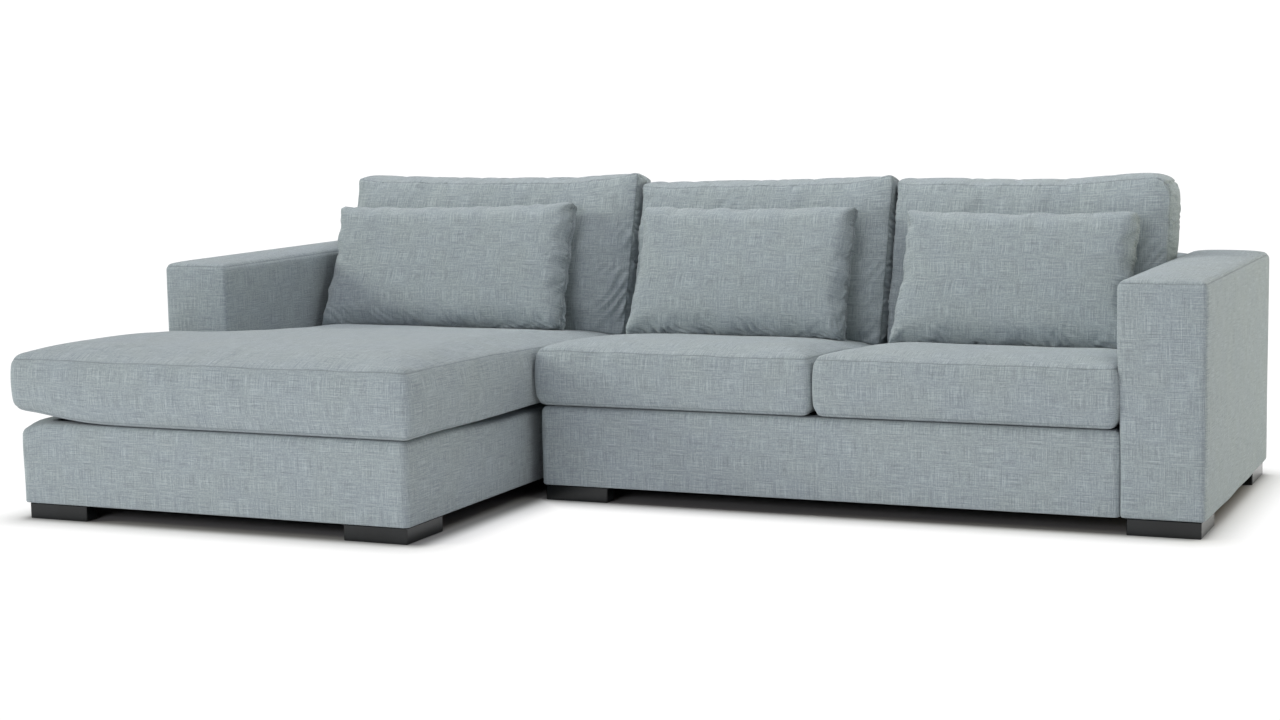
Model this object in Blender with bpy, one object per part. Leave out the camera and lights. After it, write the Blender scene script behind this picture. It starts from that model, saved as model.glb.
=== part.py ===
# Chaise sofa in two units: a chaise unit with the left arm, and a two-seat unit with the right arm.
# Metres, +Z up, +X to the viewer's right, front toward -Y. The origin is the bottom centre.

import math

import bmesh
import bpy
from mathutils import Matrix, Vector
from mathutils.bvhtree import BVHTree

# Units: bases with the arms beside or on them
CHAISE_WIDTH = 1.126
CHAISE_DEPTH = 1.620
SEAT_UNIT_WIDTH = 1.526
UNIT_DEPTH = 0.963
UNIT_GAP = 0.043
BASE_HEIGHT = 0.197

# Arms and backs
ARM_WIDTH = 0.198
ARM_TOP = 0.607
ARM_OVERHANG = 0.004
BACK_TOP = 0.600
BACK_TOP_DEPTH = 0.165
BACK_LEAN = math.radians(15.0)

# Upholstered covers: wall of cloth and padding, and the rounding of its inner corners
COVER_WALL = 0.010
HOOD_INNER_ROUND = 0.012
BASE_INNER_ROUND = 0.003
ROUND_STEPS = 3

# Timber frames inside the covers
RAIL_THICKNESS = 0.025
BOARD_THICKNESS = 0.022
CHAMFER_SHARE = 1.3
EDGE_EASE = 0.0015
WINDOW_WIDTH = 0.50

# Sinuous springs and the cloths above and below them
SPRING_WIRE_RADIUS = 0.0019
SPRING_SWING = 0.026
SPRING_HALF_WAVE = 0.066
SPRING_WAVE_POINTS = 4
SPRING_LAP = 0.010
DECK_CLOTH = 0.003
DUST_CLOTH = 0.002

# L-shaped corner feet and their screws
FOOT_HEIGHT = 0.041
FOOT_FRONT_LEG = 0.177
FOOT_SIDE_LEG = 0.180
FOOT_WALL = 0.045
FOOT_INSET = 0.005
FOOT_EASE = 0.002
SCREW_RADIUS = 0.004
SCREW_HEAD_RADIUS = 0.009
SCREW_HEAD_HEIGHT = 0.005
SCREW_RECESS = 0.004
SCREW_BITE = 0.018
SCREW_SIDES = 16

# Hook and socket between the units
HOOK_PLATE = 0.003
HOOK_WIDTH = 0.060
HOOK_HEIGHT = 0.060
HOOK_LIP = 0.028
HOOK_REACH = 0.024
HOOK_BELOW_TOP = 0.050

# Seat cushions
CHAISE_SEAM_HEIGHT = 0.172
CHAISE_CROWN = 0.033
CHAISE_PRESSED = 0.28
CHAISE_LEFT_OVERHANG = 0.023
CHAISE_FRONT_OVERHANG = 0.015
CHAISE_RIGHT_OVERHANG = 0.020
SEAT_SEAM_HEIGHT = 0.162
SEAT_CROWN = 0.027
SEAT_PRESSED = 0.25
SEAT_FRONT_OVERHANG = 0.011
CUSHION_SPLIT = 0.004
SEAT_CROWN_REACH = 0.200
CUSHION_CLEARANCE = 0.003
CUSHION_ROUND = 0.024
CUSHION_CORNER = 0.022
CUSHION_DRAW_IN = 0.006
SEAM_SET_IN = 0.008

# Back cushions
BACK_CUSHION_HEIGHT = 0.463
BACK_CUSHION_THICKNESS = 0.175
BACK_CUSHION_CROWN = 0.028
BACK_CROWN_REACH = 0.130
BACK_CUSHION_ARM_GAP = 0.015
BACK_CUSHION_SPLIT = 0.008
BACK_CUSHION_SET_IN = 0.018
BACK_TOP_DRAW_IN = 0.016
BACK_CORNER = 0.028

# Loose pillows
CHAISE_PILLOW_WIDTH = 0.765
PILLOW_WIDTH = 0.625
PILLOW_HEIGHT = 0.375
PILLOW_THICKNESS = 0.135
PILLOW_REACH = 0.150
PILLOW_DRAW_IN = 0.016
PILLOW_BOTTOM_DRAW_IN = 0.003
PILLOW_CORNER = 0.018
PILLOW_LEAN = math.radians(20.0)
CHAISE_PILLOW_SHIFT = -0.065
PILLOW_SHIFT = -0.007

# Gaps between pieces that touch, hard and soft
TOUCH = 0.0003
SOFT_TOUCH = 0.0006
LIFTED = 0.080

# How finely the soft forms are made
ARC_STEPS = 3
SIDE_POINTS = 5
CROWN_RINGS = 4
PILLOW_RINGS = 5
CORNER_SPREAD = 0.35
SAG_EASE = 0.8
RING_CROWDING = 1.5
LARGEST_CORNER_SHARE = 0.45
EDGE_SAMPLES = 8

# Corners whose heights differ by less than this lie level
LEVEL = 1e-6

# Levels and edges that several pieces share
UNDERSIDE = FOOT_HEIGHT + TOUCH
BASE_TOP = UNDERSIDE + BASE_HEIGHT
RAIL_TOP = BASE_TOP - DECK_CLOTH - 2 * SPRING_WIRE_RADIUS - 2 * TOUCH
BACK_SLOPE = math.tan(BACK_LEAN)
BACK_FOOT_DEPTH = BACK_TOP_DEPTH + BACK_SLOPE * (BACK_TOP - BASE_TOP)
CHAISE_LEFT = ARM_OVERHANG
CHAISE_RIGHT = CHAISE_LEFT + CHAISE_WIDTH
SEATS_LEFT = CHAISE_RIGHT + UNIT_GAP
SEATS_RIGHT = SEATS_LEFT + SEAT_UNIT_WIDTH
RIGHT_ARM_INNER = SEATS_RIGHT + TOUCH
RIGHT_ARM_OUTER = RIGHT_ARM_INNER + ARM_WIDTH
CHAISE_CUSHION_LEFT = CHAISE_LEFT - CHAISE_LEFT_OVERHANG
CHAISE_CUSHION_RIGHT = CHAISE_RIGHT + CHAISE_RIGHT_OVERHANG
CHAISE_CUSHION_FRONT = -CHAISE_DEPTH - CHAISE_FRONT_OVERHANG
CUSHION_REAR = -BACK_FOOT_DEPTH - CUSHION_CLEARANCE


# Scene and finishes
def clear_scene():
    for item in list(bpy.data.objects):
        bpy.data.objects.remove(item, do_unlink=True)


def finish(name, colour, roughness, metallic):
    material = bpy.data.materials.new(name)
    material.use_nodes = True
    shader = material.node_tree.nodes["Principled BSDF"]
    shader.inputs["Base Color"].default_value = (*colour, 1.0)
    shader.inputs["Roughness"].default_value = roughness
    shader.inputs["Metallic"].default_value = metallic
    return material


def cover_cloth():
    return finish("cover_cloth", (0.33, 0.36, 0.38), 0.92, 0.0)


def cushion_cloth():
    return finish("cushion_cloth", (0.36, 0.39, 0.41), 0.92, 0.0)


def pillow_cloth():
    return finish("pillow_cloth", (0.38, 0.41, 0.43), 0.92, 0.0)


def lining_cloth():
    return finish("lining_cloth", (0.05, 0.05, 0.055), 0.95, 0.0)


def pine_timber():
    return finish("pine_timber", (0.55, 0.40, 0.24), 0.65, 0.0)


def black_lacquer():
    return finish("black_lacquer", (0.02, 0.022, 0.026), 0.35, 0.0)


def spring_steel():
    return finish("spring_steel", (0.40, 0.40, 0.42), 0.40, 1.0)


def zinc_steel():
    return finish("zinc_steel", (0.62, 0.62, 0.60), 0.35, 1.0)


# Objects from shapes
def make_object(name, shape, material, location):
    bmesh.ops.recalc_face_normals(shape, faces=shape.faces)
    mesh = bpy.data.meshes.new(name)
    shape.to_mesh(mesh)
    shape.free()
    mesh.materials.append(material)
    piece = bpy.data.objects.new(name, mesh)
    piece.location = location
    bpy.context.scene.collection.objects.link(piece)
    return piece


def box_shape(size):
    shape = bmesh.new()
    bmesh.ops.create_cube(shape, size=1.0)
    bmesh.ops.scale(shape, vec=size, verts=shape.verts)
    return shape


def box_between(name, low, high, material, ease=0.0):
    low, high = Vector(low), Vector(high)
    shape = box_shape(high - low)
    if ease > 0:
        bmesh.ops.bevel(shape, geom=shape.edges[:], offset=ease, segments=1, affect="EDGES")
    return make_object(name, shape, material, (low + high) / 2)


def round_upright_edges(shape, rounding, steps):
    upright = [edge for edge in shape.edges if abs((edge.verts[0].co - edge.verts[1].co).z) > LEVEL]
    bmesh.ops.bevel(shape, geom=upright, offset=rounding, segments=steps, profile=0.5, affect="EDGES")


def turned_shape(profile, sides):
    # Rings of equal sides about the vertical axis, from a list of (radius, height) going up
    rings = []
    for radius, height in profile:
        turns = [2 * math.pi * step / sides for step in range(sides)]
        rings.append([Vector((radius * math.cos(a), radius * math.sin(a), height)) for a in turns])
    return ringed_shape(rings)


def ringed_shape(rings):
    # A closed body through equal rings, each counterclockwise seen from the last ring's side
    shape = bmesh.new()
    loops = [[shape.verts.new(point) for point in ring] for ring in rings]
    count = len(loops[0])
    for lower, upper in zip(loops, loops[1:]):
        for i in range(count):
            j = (i + 1) % count
            shape.faces.new((lower[i], lower[j], upper[j], upper[i]))
    shape.faces.new(list(reversed(loops[0])))
    shape.faces.new(loops[-1])
    return shape


def extruded_shape(outline, length):
    # A flat outline of (x, z) points, drawn out along +Y
    shape = bmesh.new()
    face = shape.faces.new([shape.verts.new((x, 0.0, z)) for x, z in outline])
    drawn = bmesh.ops.extrude_face_region(shape, geom=[face])
    moved = [item for item in drawn["geom"] if isinstance(item, bmesh.types.BMVert)]
    bmesh.ops.translate(shape, vec=(0.0, length, 0.0), verts=moved)
    return shape


def cut(piece, cutter):
    modifier = piece.modifiers.new("cut", "BOOLEAN")
    modifier.operation = "DIFFERENCE"
    modifier.solver = "EXACT"
    modifier.object = cutter


def as_guide(piece):
    piece.hide_render = True
    piece.display_type = "WIRE"
    return piece


def shade_round(piece, angle=math.radians(40.0)):
    piece.data.shade_smooth()
    piece.data.set_sharp_from_angle(angle=angle)


# Upholstered covers
def sleeve(name, low, high, material):
    # The four upholstered sides of a base, open above and below
    low, high = Vector(low), Vector(high)
    shape = box_shape(high - low)
    round_upright_edges(shape, COVER_WALL + BASE_INNER_ROUND, ROUND_STEPS)
    shape.normal_update()
    ends = [face for face in shape.faces if abs(face.normal.z) > 0.5]
    bmesh.ops.delete(shape, geom=ends, context="FACES_ONLY")
    piece = make_object(name, shape, material, (low + high) / 2)
    wall = piece.modifiers.new("wall", "SOLIDIFY")
    wall.thickness = COVER_WALL
    wall.offset = -1.0
    wall.use_even_offset = True


class Block:
    # A box between two corners whose front leans back by the slope as it rises
    def __init__(self, low, high, slope):
        self.low = Vector(low)
        self.high = Vector(high)
        self.slope = slope

    def inside(self, margin, below=0.0):
        # The block this margin inside all its faces but the bottom, which moves down instead
        front = margin * math.sqrt(1 + self.slope**2) - self.slope * below
        low = self.low + Vector((margin, front, -below))
        return Block(low, self.high - Vector((margin, margin, margin)), self.slope)

    def piece(self, name, rounding, steps, material):
        # Every edge is rounded but those of the bottom
        size = self.high - self.low
        shape = box_shape(size)
        for vert in shape.verts:
            if vert.co.z > 0 and vert.co.y < 0:
                vert.co.y += self.slope * size.z
        bottom = min(vert.co.z for vert in shape.verts)
        edges = [edge for edge in shape.edges if max(vert.co.z for vert in edge.verts) > bottom + LEVEL]
        bmesh.ops.bevel(shape, geom=edges, offset=rounding, segments=steps, profile=0.5, affect="EDGES")
        return make_object(name, shape, material, (self.low + self.high) / 2)


def hood(name, block, material):
    # The upholstered cover of an arm or a back, open below
    piece = block.piece(name, COVER_WALL + HOOD_INNER_ROUND, ROUND_STEPS, material)
    cavity = block.inside(COVER_WALL, COVER_WALL)
    cut(piece, as_guide(cavity.piece(f"{name}_cavity", HOOD_INNER_ROUND, ROUND_STEPS, material)))
    shade_round(piece)


def hood_frame(name, block, across, material):
    # Boards in a ring with uprights between, which fill the hood as far as its padding lets them.
    # The windows run along the axis named across: 0 for an arm, 1 for a back.
    inner = block.inside(COVER_WALL + TOUCH)
    piece = inner.piece(name, HOOD_INNER_ROUND * CHAMFER_SHARE + EDGE_EASE, 1, material)
    low, high = inner.low, inner.high
    along = 1 - across
    span = high[along] - low[along]
    count = max(2, round(span / WINDOW_WIDTH))
    width = (span - (count + 1) * BOARD_THICKNESS) / count
    for i in range(count):
        window_low = low + Vector((0.0, 0.0, BOARD_THICKNESS))
        window_high = high - Vector((0.0, 0.0, BOARD_THICKNESS))
        window_low[along] = low[along] + BOARD_THICKNESS + i * (width + BOARD_THICKNESS)
        window_high[along] = window_low[along] + width
        window_low[across] -= BOARD_THICKNESS
        window_high[across] += BOARD_THICKNESS
        cut(piece, as_guide(box_between(f"{name}_window_{i}", window_low, window_high, material)))
    return piece


# Base of a unit
class Base:
    # The box that the base cover fills, and the timber box just inside it
    def __init__(self, unit, left, right, depth):
        self.unit = unit
        self.low = Vector((left, -depth, UNDERSIDE))
        self.high = Vector((right, 0.0, BASE_TOP))
        margin = COVER_WALL + TOUCH
        self.timber_low = self.low + Vector((margin, margin, 0.0))
        self.timber_high = Vector((right - margin, -margin, RAIL_TOP))

    def middle(self, axis):
        return (self.low[axis] + self.high[axis]) / 2


def rail(name, low, high, material):
    return box_between(name, low, high, material, BASE_INNER_ROUND + EDGE_EASE)


def front_and_back_rails(base, timber):
    low, high = base.timber_low, base.timber_high
    front = rail(f"{base.unit}_front_rail", low, (high.x, low.y + RAIL_THICKNESS, high.z), timber)
    back = rail(f"{base.unit}_back_rail", (low.x, high.y - RAIL_THICKNESS, low.z), high, timber)
    return front, back


def side_rails(base, timber):
    low, high = base.timber_low, base.timber_high
    front = low.y + RAIL_THICKNESS + TOUCH
    back = high.y - RAIL_THICKNESS - TOUCH
    rail(f"{base.unit}_left_rail", (low.x, front, low.z), (low.x + RAIL_THICKNESS, back, high.z), timber)
    rail(f"{base.unit}_right_rail", (high.x - RAIL_THICKNESS, front, low.z), (high.x, back, high.z), timber)


def cross_rail(base, along, timber):
    # A rail across the middle, clear of the dust cover, with its length along x (0) or y (1)
    low, high = base.timber_low.copy(), base.timber_high.copy()
    low.z += DUST_CLOTH + TOUCH
    across = 1 - along
    low[across] = base.middle(across) - RAIL_THICKNESS / 2
    high[across] = base.middle(across) + RAIL_THICKNESS / 2
    low[along] += RAIL_THICKNESS + TOUCH
    high[along] -= RAIL_THICKNESS + TOUCH
    rail(f"{base.unit}_cross_rail", low, high, timber)


def deck_cloth(base, cloth):
    low = base.timber_low.copy()
    low.z = base.high.z - DECK_CLOTH
    shape = box_shape((base.timber_high.x - low.x, base.timber_high.y - low.y, DECK_CLOTH))
    round_upright_edges(shape, BASE_INNER_ROUND + EDGE_EASE, 1)
    centre = (base.middle(0), base.middle(1), low.z + DECK_CLOTH / 2)
    make_object(f"{base.unit}_deck_cloth", shape, cloth, centre)


def dust_cover(base, cloth):
    margin = RAIL_THICKNESS + TOUCH
    low = base.timber_low + Vector((margin, margin, 0.0))
    high = Vector((base.timber_high.x - margin, base.timber_high.y - margin, low.z + DUST_CLOTH))
    box_between(f"{base.unit}_dust_cover", low, high, cloth)


def spring(name, x, front, back, steel):
    # A flat wave of wire laid from rail to rail: swing times the sine of the way along
    length = back - front
    waves = max(2, round(length / SPRING_HALF_WAVE))
    steps = waves * SPRING_WAVE_POINTS
    height = RAIL_TOP + TOUCH + SPRING_WIRE_RADIUS
    curve = bpy.data.curves.new(name, "CURVE")
    curve.dimensions = "3D"
    curve.bevel_depth = SPRING_WIRE_RADIUS
    curve.bevel_resolution = 0
    curve.use_fill_caps = True
    path = curve.splines.new("POLY")
    path.points.add(steps)
    for i in range(steps + 1):
        sideways = SPRING_SWING * math.sin(math.pi * i / SPRING_WAVE_POINTS)
        path.points[i].co = (sideways, length * i / steps, 0.0, 1.0)
    curve.materials.append(steel)
    piece = bpy.data.objects.new(name, curve)
    piece.location = (x, front, height)
    bpy.context.scene.collection.objects.link(piece)


def chaise_springs(base, steel):
    # Two in front of the cross rail and two behind it
    front = base.timber_low.y + RAIL_THICKNESS - SPRING_LAP
    back = base.timber_high.y - RAIL_THICKNESS + SPRING_LAP
    middle = base.middle(1)
    lap = RAIL_THICKNESS / 2 - SPRING_LAP
    for side, share in (("left", 1 / 3), ("right", 2 / 3)):
        x = base.low.x + share * (base.high.x - base.low.x)
        spring(f"{base.unit}_front_{side}_spring", x, front, middle - lap, steel)
        spring(f"{base.unit}_rear_{side}_spring", x, middle + lap, back, steel)


def seat_unit_springs(base, steel):
    # Two on each side of the cross rail
    front = base.timber_low.y + RAIL_THICKNESS - SPRING_LAP
    back = base.timber_high.y - RAIL_THICKNESS + SPRING_LAP
    for i in range(4):
        x = base.low.x + (i + 0.5) / 4 * (base.high.x - base.low.x)
        spring(f"{base.unit}_spring_{i + 1}", x, front, back, steel)


# Feet and foot screws
def foot_shape(side, end):
    # An L seen from above, its corner at the origin. side and end are 1 or -1: the way its legs run.
    leg, reach, wall = FOOT_FRONT_LEG * side, FOOT_SIDE_LEG * end, FOOT_WALL
    inner = (wall * side, wall * end)
    corners = [(0, 0), (leg, 0), (leg, inner[1]), inner, (inner[0], reach), (0, reach)]
    shape = bmesh.new()
    face = shape.faces.new([shape.verts.new((x, y, 0.0)) for x, y in corners])
    drawn = bmesh.ops.extrude_face_region(shape, geom=[face])
    moved = [item for item in drawn["geom"] if isinstance(item, bmesh.types.BMVert)]
    bmesh.ops.translate(shape, vec=(0.0, 0.0, FOOT_HEIGHT), verts=moved)
    bmesh.ops.recalc_face_normals(shape, faces=shape.faces)
    bmesh.ops.bevel(shape, geom=shape.edges[:], offset=FOOT_EASE, segments=1, affect="EDGES")
    return shape


def screw_profile(clearance):
    head_top = SCREW_RECESS + SCREW_HEAD_HEIGHT + clearance
    bottom = SCREW_RECESS if clearance == 0 else -FOOT_HEIGHT
    return [
        (SCREW_HEAD_RADIUS + clearance, bottom),
        (SCREW_HEAD_RADIUS + clearance, head_top),
        (SCREW_RADIUS + clearance, head_top),
        (SCREW_RADIUS + clearance, UNDERSIDE + SCREW_BITE + clearance),
    ]


def foot_with_screw(unit, place, corner, side, end, held, lacquer, steel):
    # The screw goes up through the front leg into the timber above it, which it holds
    location = Vector((corner[0] + FOOT_INSET * side, corner[1] + FOOT_INSET * end, 0.0))
    foot = make_object(f"{unit}_foot_{place}", foot_shape(side, end), lacquer, location)
    axis = (
        corner[0] + (FOOT_INSET + FOOT_FRONT_LEG / 2) * side,
        corner[1] + (COVER_WALL + TOUCH + RAIL_THICKNESS / 2) * end,
        0.0,
    )
    bore = turned_shape(screw_profile(TOUCH), SCREW_SIDES)
    hole = as_guide(make_object(f"{unit}_screw_hole_{place}", bore, steel, axis))
    cut(foot, hole)
    cut(held, hole)
    screw = turned_shape(screw_profile(0.0), SCREW_SIDES)
    shade_round(make_object(f"{unit}_foot_screw_{place}", screw, steel, axis))


# Hook and socket that hold the units together
def unit_socket(steel, y, z):
    # A J: a plate on the chaise unit's side, a web, and a lip that turns up
    plate, reach = HOOK_PLATE, HOOK_REACH
    back, lip = TOUCH + plate, reach - plate
    outline = [
        (TOUCH, 0), (reach, 0), (reach, HOOK_LIP), (lip, HOOK_LIP),
        (lip, plate), (back, plate), (back, HOOK_HEIGHT), (TOUCH, HOOK_HEIGHT),
    ]
    make_object("unit_socket", extruded_shape(outline, HOOK_WIDTH), steel, (CHAISE_RIGHT, y, z))


def unit_hook(steel, y, z):
    # The same turned over, on the two-seat unit's side, with its lip in the socket's trough
    plate = HOOK_PLATE
    far = UNIT_GAP - TOUCH
    outer = HOOK_REACH - plate - TOUCH
    web = HOOK_LIP + TOUCH
    outline = [
        (outer - plate, plate + TOUCH), (outer, plate + TOUCH), (outer, web), (far - plate, web),
        (far - plate, TOUCH), (far, TOUCH), (far, web + plate), (outer - plate, web + plate),
    ]
    make_object("unit_hook", extruded_shape(outline, HOOK_WIDTH), steel, (CHAISE_RIGHT, y, z))


def unit_connector(steel):
    y = -(UNIT_DEPTH + HOOK_WIDTH) / 2
    z = BASE_TOP - HOOK_BELOW_TOP - HOOK_HEIGHT
    unit_socket(steel, y, z)
    unit_hook(steel, y, z)


# Outlines of the soft pieces
def to_the_left(way):
    return Vector((-way.y, way.x))


def outline_points(corners, inset, radius, sags):
    # A counterclockwise outline of square corners, moved in by the inset, with its corners rounded
    # and each side drawn in by its sag times 4 t (1 - t), t running from 0 to 1 along the side
    count = len(corners)
    ways = [(corners[(i + 1) % count] - corners[i]).normalized() for i in range(count)]
    moved = [corners[i] + inset * (to_the_left(ways[i - 1]) + to_the_left(ways[i])) for i in range(count)]
    lengths = [(moved[(i + 1) % count] - moved[i]).length for i in range(count)]
    spread = radius + CORNER_SPREAD * inset
    radii = [min(spread, LARGEST_CORNER_SHARE * min(lengths[i - 1], lengths[i])) for i in range(count)]
    points = []
    for i in range(count):
        before, after = ways[i - 1], ways[i]
        centre = moved[i] + radii[i] * (after - before)
        for step in range(ARC_STEPS + 1):
            turn = math.pi / 2 * step / ARC_STEPS
            points.append(centre + radii[i] * (before * math.sin(turn) - after * math.cos(turn)))
        start = moved[i] + radii[i] * after
        end = moved[(i + 1) % count] - radii[(i + 1) % count] * after
        for step in range(1, SIDE_POINTS + 1):
            t = step / (SIDE_POINTS + 1)
            points.append(start.lerp(end, t) + to_the_left(after) * sags[i] * 4 * t * (1 - t))
    return points


def raised(points, height, pressed=0.0):
    # Points at a height, pressed down as the square of the way from the front (y = 0) to the rear
    rear = max(point.y for point in points)
    return [Vector((point.x, point.y, height * (1 - pressed * (point.y / rear) ** 2))) for point in points]


def rectangle(width, depth):
    half = width / 2
    return [Vector((-half, 0)), Vector((half, 0)), Vector((half, depth)), Vector((-half, depth))]


def cushion_shape(corners, seam_height, crown, reach, radius, sags, pressed=0.0):
    # A boxed cushion lying down: a flat bottom with a rounded edge, upright sides that belly out to
    # half their height, a seam drawn in, and a crown that rises as the sine of the way in.
    # Its rear is pressed down by what stands on it.
    rings = []
    for step in range(ARC_STEPS):
        turn = math.pi / 2 * step / (ARC_STEPS - 1)
        inset = CUSHION_ROUND * (1 - math.sin(turn)) + SEAM_SET_IN * (1 - step / (ARC_STEPS - 1)) / 2
        height = CUSHION_ROUND * (1 - math.cos(turn))
        rings.append(raised(outline_points(corners, inset, radius, sags), height, pressed))
    belly = (CUSHION_ROUND + seam_height) / 2
    rings.append(raised(outline_points(corners, 0.0, radius, sags), belly, pressed))
    rings.append(raised(outline_points(corners, SEAM_SET_IN, radius, sags), seam_height, pressed))
    for step in range(1, CROWN_RINGS + 1):
        share = (step / CROWN_RINGS) ** RING_CROWDING
        inset = SEAM_SET_IN + (reach - SEAM_SET_IN) * share
        height = seam_height + crown * math.sin(math.pi / 2 * share)
        eased = [sag * (1 - SAG_EASE * share) for sag in sags]
        rings.append(raised(outline_points(corners, inset, radius, eased), height, pressed))
    return ringed_shape(rings)


def pillow_shape(width, height):
    # A knife-edged pillow lying down: from the seam both faces rise as a quarter circle of the way in
    corners = rectangle(width, height)
    front = []
    for step in range(PILLOW_RINGS + 1):
        share = (step / PILLOW_RINGS) ** RING_CROWDING
        sags = [sag * (1 - SAG_EASE * share) for sag in (PILLOW_BOTTOM_DRAW_IN, *[PILLOW_DRAW_IN] * 3)]
        points = outline_points(corners, PILLOW_REACH * share, PILLOW_CORNER, sags)
        rise = PILLOW_THICKNESS / 2 * math.sqrt(1 - (1 - share) ** 2)
        front.append((points, rise))
    back = [raised(points, -rise) for points, rise in reversed(front[1:])]
    return ringed_shape(back + [raised(points, rise) for points, rise in front])


# Soft pieces come to rest against each other
def surface_tree(piece):
    mesh = piece.data
    corners = [piece.location + vert.co for vert in mesh.vertices]
    return BVHTree.FromPolygons(corners, [tuple(face.vertices) for face in mesh.polygons])


def surface_samples(piece):
    mesh = piece.data
    points = [piece.location + vert.co for vert in mesh.vertices]
    ends = [(points[edge.vertices[0]], points[edge.vertices[1]]) for edge in mesh.edges]
    shares = [step / EDGE_SAMPLES for step in range(1, EDGE_SAMPLES)]
    return points + [a.lerp(b, share) for a, b in ends for share in shares]


def free_way(points, tree, way):
    hits = [tree.ray_cast(point, way)[3] for point in points]
    return min((hit for hit in hits if hit is not None), default=0.0)


def settle(piece, support, way):
    # Moves the piece along the way until only the soft gap is left to its support
    way = Vector(way).normalized()
    ahead = free_way(surface_samples(piece), surface_tree(support), way)
    behind = free_way(surface_samples(support), surface_tree(piece), -way)
    found = [distance for distance in (ahead, behind) if distance > 0]
    piece.location += way * (min(found, default=SOFT_TOUCH) - SOFT_TOUCH)


def carry(piece, carrier):
    # The piece rides on its carrier
    piece.location -= carrier.matrix_basis.translation
    piece.parent = carrier


# Cushions
def chaise_cushion(cloth):
    # One cushion in an L, which runs in front of the left arm
    left, right = CHAISE_CUSHION_LEFT, CHAISE_CUSHION_RIGHT
    arm_side = ARM_WIDTH + CUSHION_CLEARANCE
    arm_front = -UNIT_DEPTH - CUSHION_CLEARANCE
    origin = Vector(((left + right) / 2, CHAISE_CUSHION_FRONT))
    plan = [
        (left, CHAISE_CUSHION_FRONT), (right, CHAISE_CUSHION_FRONT), (right, CUSHION_REAR),
        (arm_side, CUSHION_REAR), (arm_side, arm_front), (left, arm_front),
    ]
    corners = [Vector(point) - origin for point in plan]
    sags = [CUSHION_DRAW_IN] * len(corners)
    sags[3] = 0.0
    sags[4] = 0.0
    height, reach = CHAISE_SEAM_HEIGHT, SEAT_CROWN_REACH
    shape = cushion_shape(corners, height, CHAISE_CROWN, reach, CUSHION_CORNER, sags, CHAISE_PRESSED)
    piece = make_object("chaise_seat_cushion", shape, cloth, (origin.x, origin.y, BASE_TOP + TOUCH))
    shade_round(piece)
    return piece


def seat_cushion(name, left, right, cloth):
    front = -UNIT_DEPTH - SEAT_FRONT_OVERHANG
    corners = rectangle(right - left, CUSHION_REAR - front)
    sags = [CUSHION_DRAW_IN] * len(corners)
    height, reach = SEAT_SEAM_HEIGHT, SEAT_CROWN_REACH
    shape = cushion_shape(corners, height, SEAT_CROWN, reach, CUSHION_CORNER, sags, SEAT_PRESSED)
    piece = make_object(name, shape, cloth, ((left + right) / 2, front, BASE_TOP + TOUCH))
    shade_round(piece)
    return piece


def back_cushion(name, left, right, seat, cloth):
    # Made lying down, then stood up and leaned as the back leans, its bottom still level.
    # It slides down the back until it rests on its seat cushion.
    corners = rectangle(right - left, BACK_CUSHION_HEIGHT)
    sags = [0.0, CUSHION_DRAW_IN, BACK_TOP_DRAW_IN, CUSHION_DRAW_IN]
    seam = BACK_CUSHION_THICKNESS - BACK_CUSHION_CROWN
    shape = cushion_shape(corners, seam, BACK_CUSHION_CROWN, BACK_CROWN_REACH, BACK_CORNER, sags)
    stand = Matrix(((1, 0, 0, 0), (0, BACK_SLOPE, -1, 0), (0, 1, 0, 0), (0, 0, 0, 1)))
    bmesh.ops.transform(shape, matrix=stand, verts=shape.verts)
    bottom = BACK_TOP - LIFTED
    rear = BACK_TOP_DEPTH + BACK_SLOPE * (BACK_TOP - bottom) + SOFT_TOUCH
    piece = make_object(name, shape, cloth, ((left + right) / 2, -rear, bottom))
    settle(piece, seat, (0.0, -BACK_SLOPE, -1.0))
    shade_round(piece)
    return piece


def pillow(name, width, centre, seat, back, cloth):
    # Stood on its long side and leaned, lowered onto the seat, then pushed back
    shape = pillow_shape(width, PILLOW_HEIGHT)
    lean = Matrix.Rotation(math.pi / 2 - PILLOW_LEAN, 4, "X")
    bmesh.ops.transform(shape, matrix=lean, verts=shape.verts)
    start = back.location.y - BACK_CUSHION_THICKNESS - PILLOW_THICKNESS
    piece = make_object(name, shape, cloth, (centre, start, back.location.z + LIFTED))
    settle(piece, seat, (0.0, 0.0, -1.0))
    settle(piece, back, (0.0, 1.0, 0.0))
    shade_round(piece)
    return piece


def cushion_stack(place, seat, left, right, pillow_width, pillow_shift, cloths):
    # A seat cushion with its back cushion and its pillow, each carried by the one before
    back = back_cushion(f"{place}_back_cushion", left, right, seat, cloths[0])
    centre = (left + right) / 2 + pillow_shift
    loose = pillow(f"{place}_pillow", pillow_width, centre, seat, back, cloths[1])
    carry(loose, back)
    carry(back, seat)
    return seat


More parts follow.
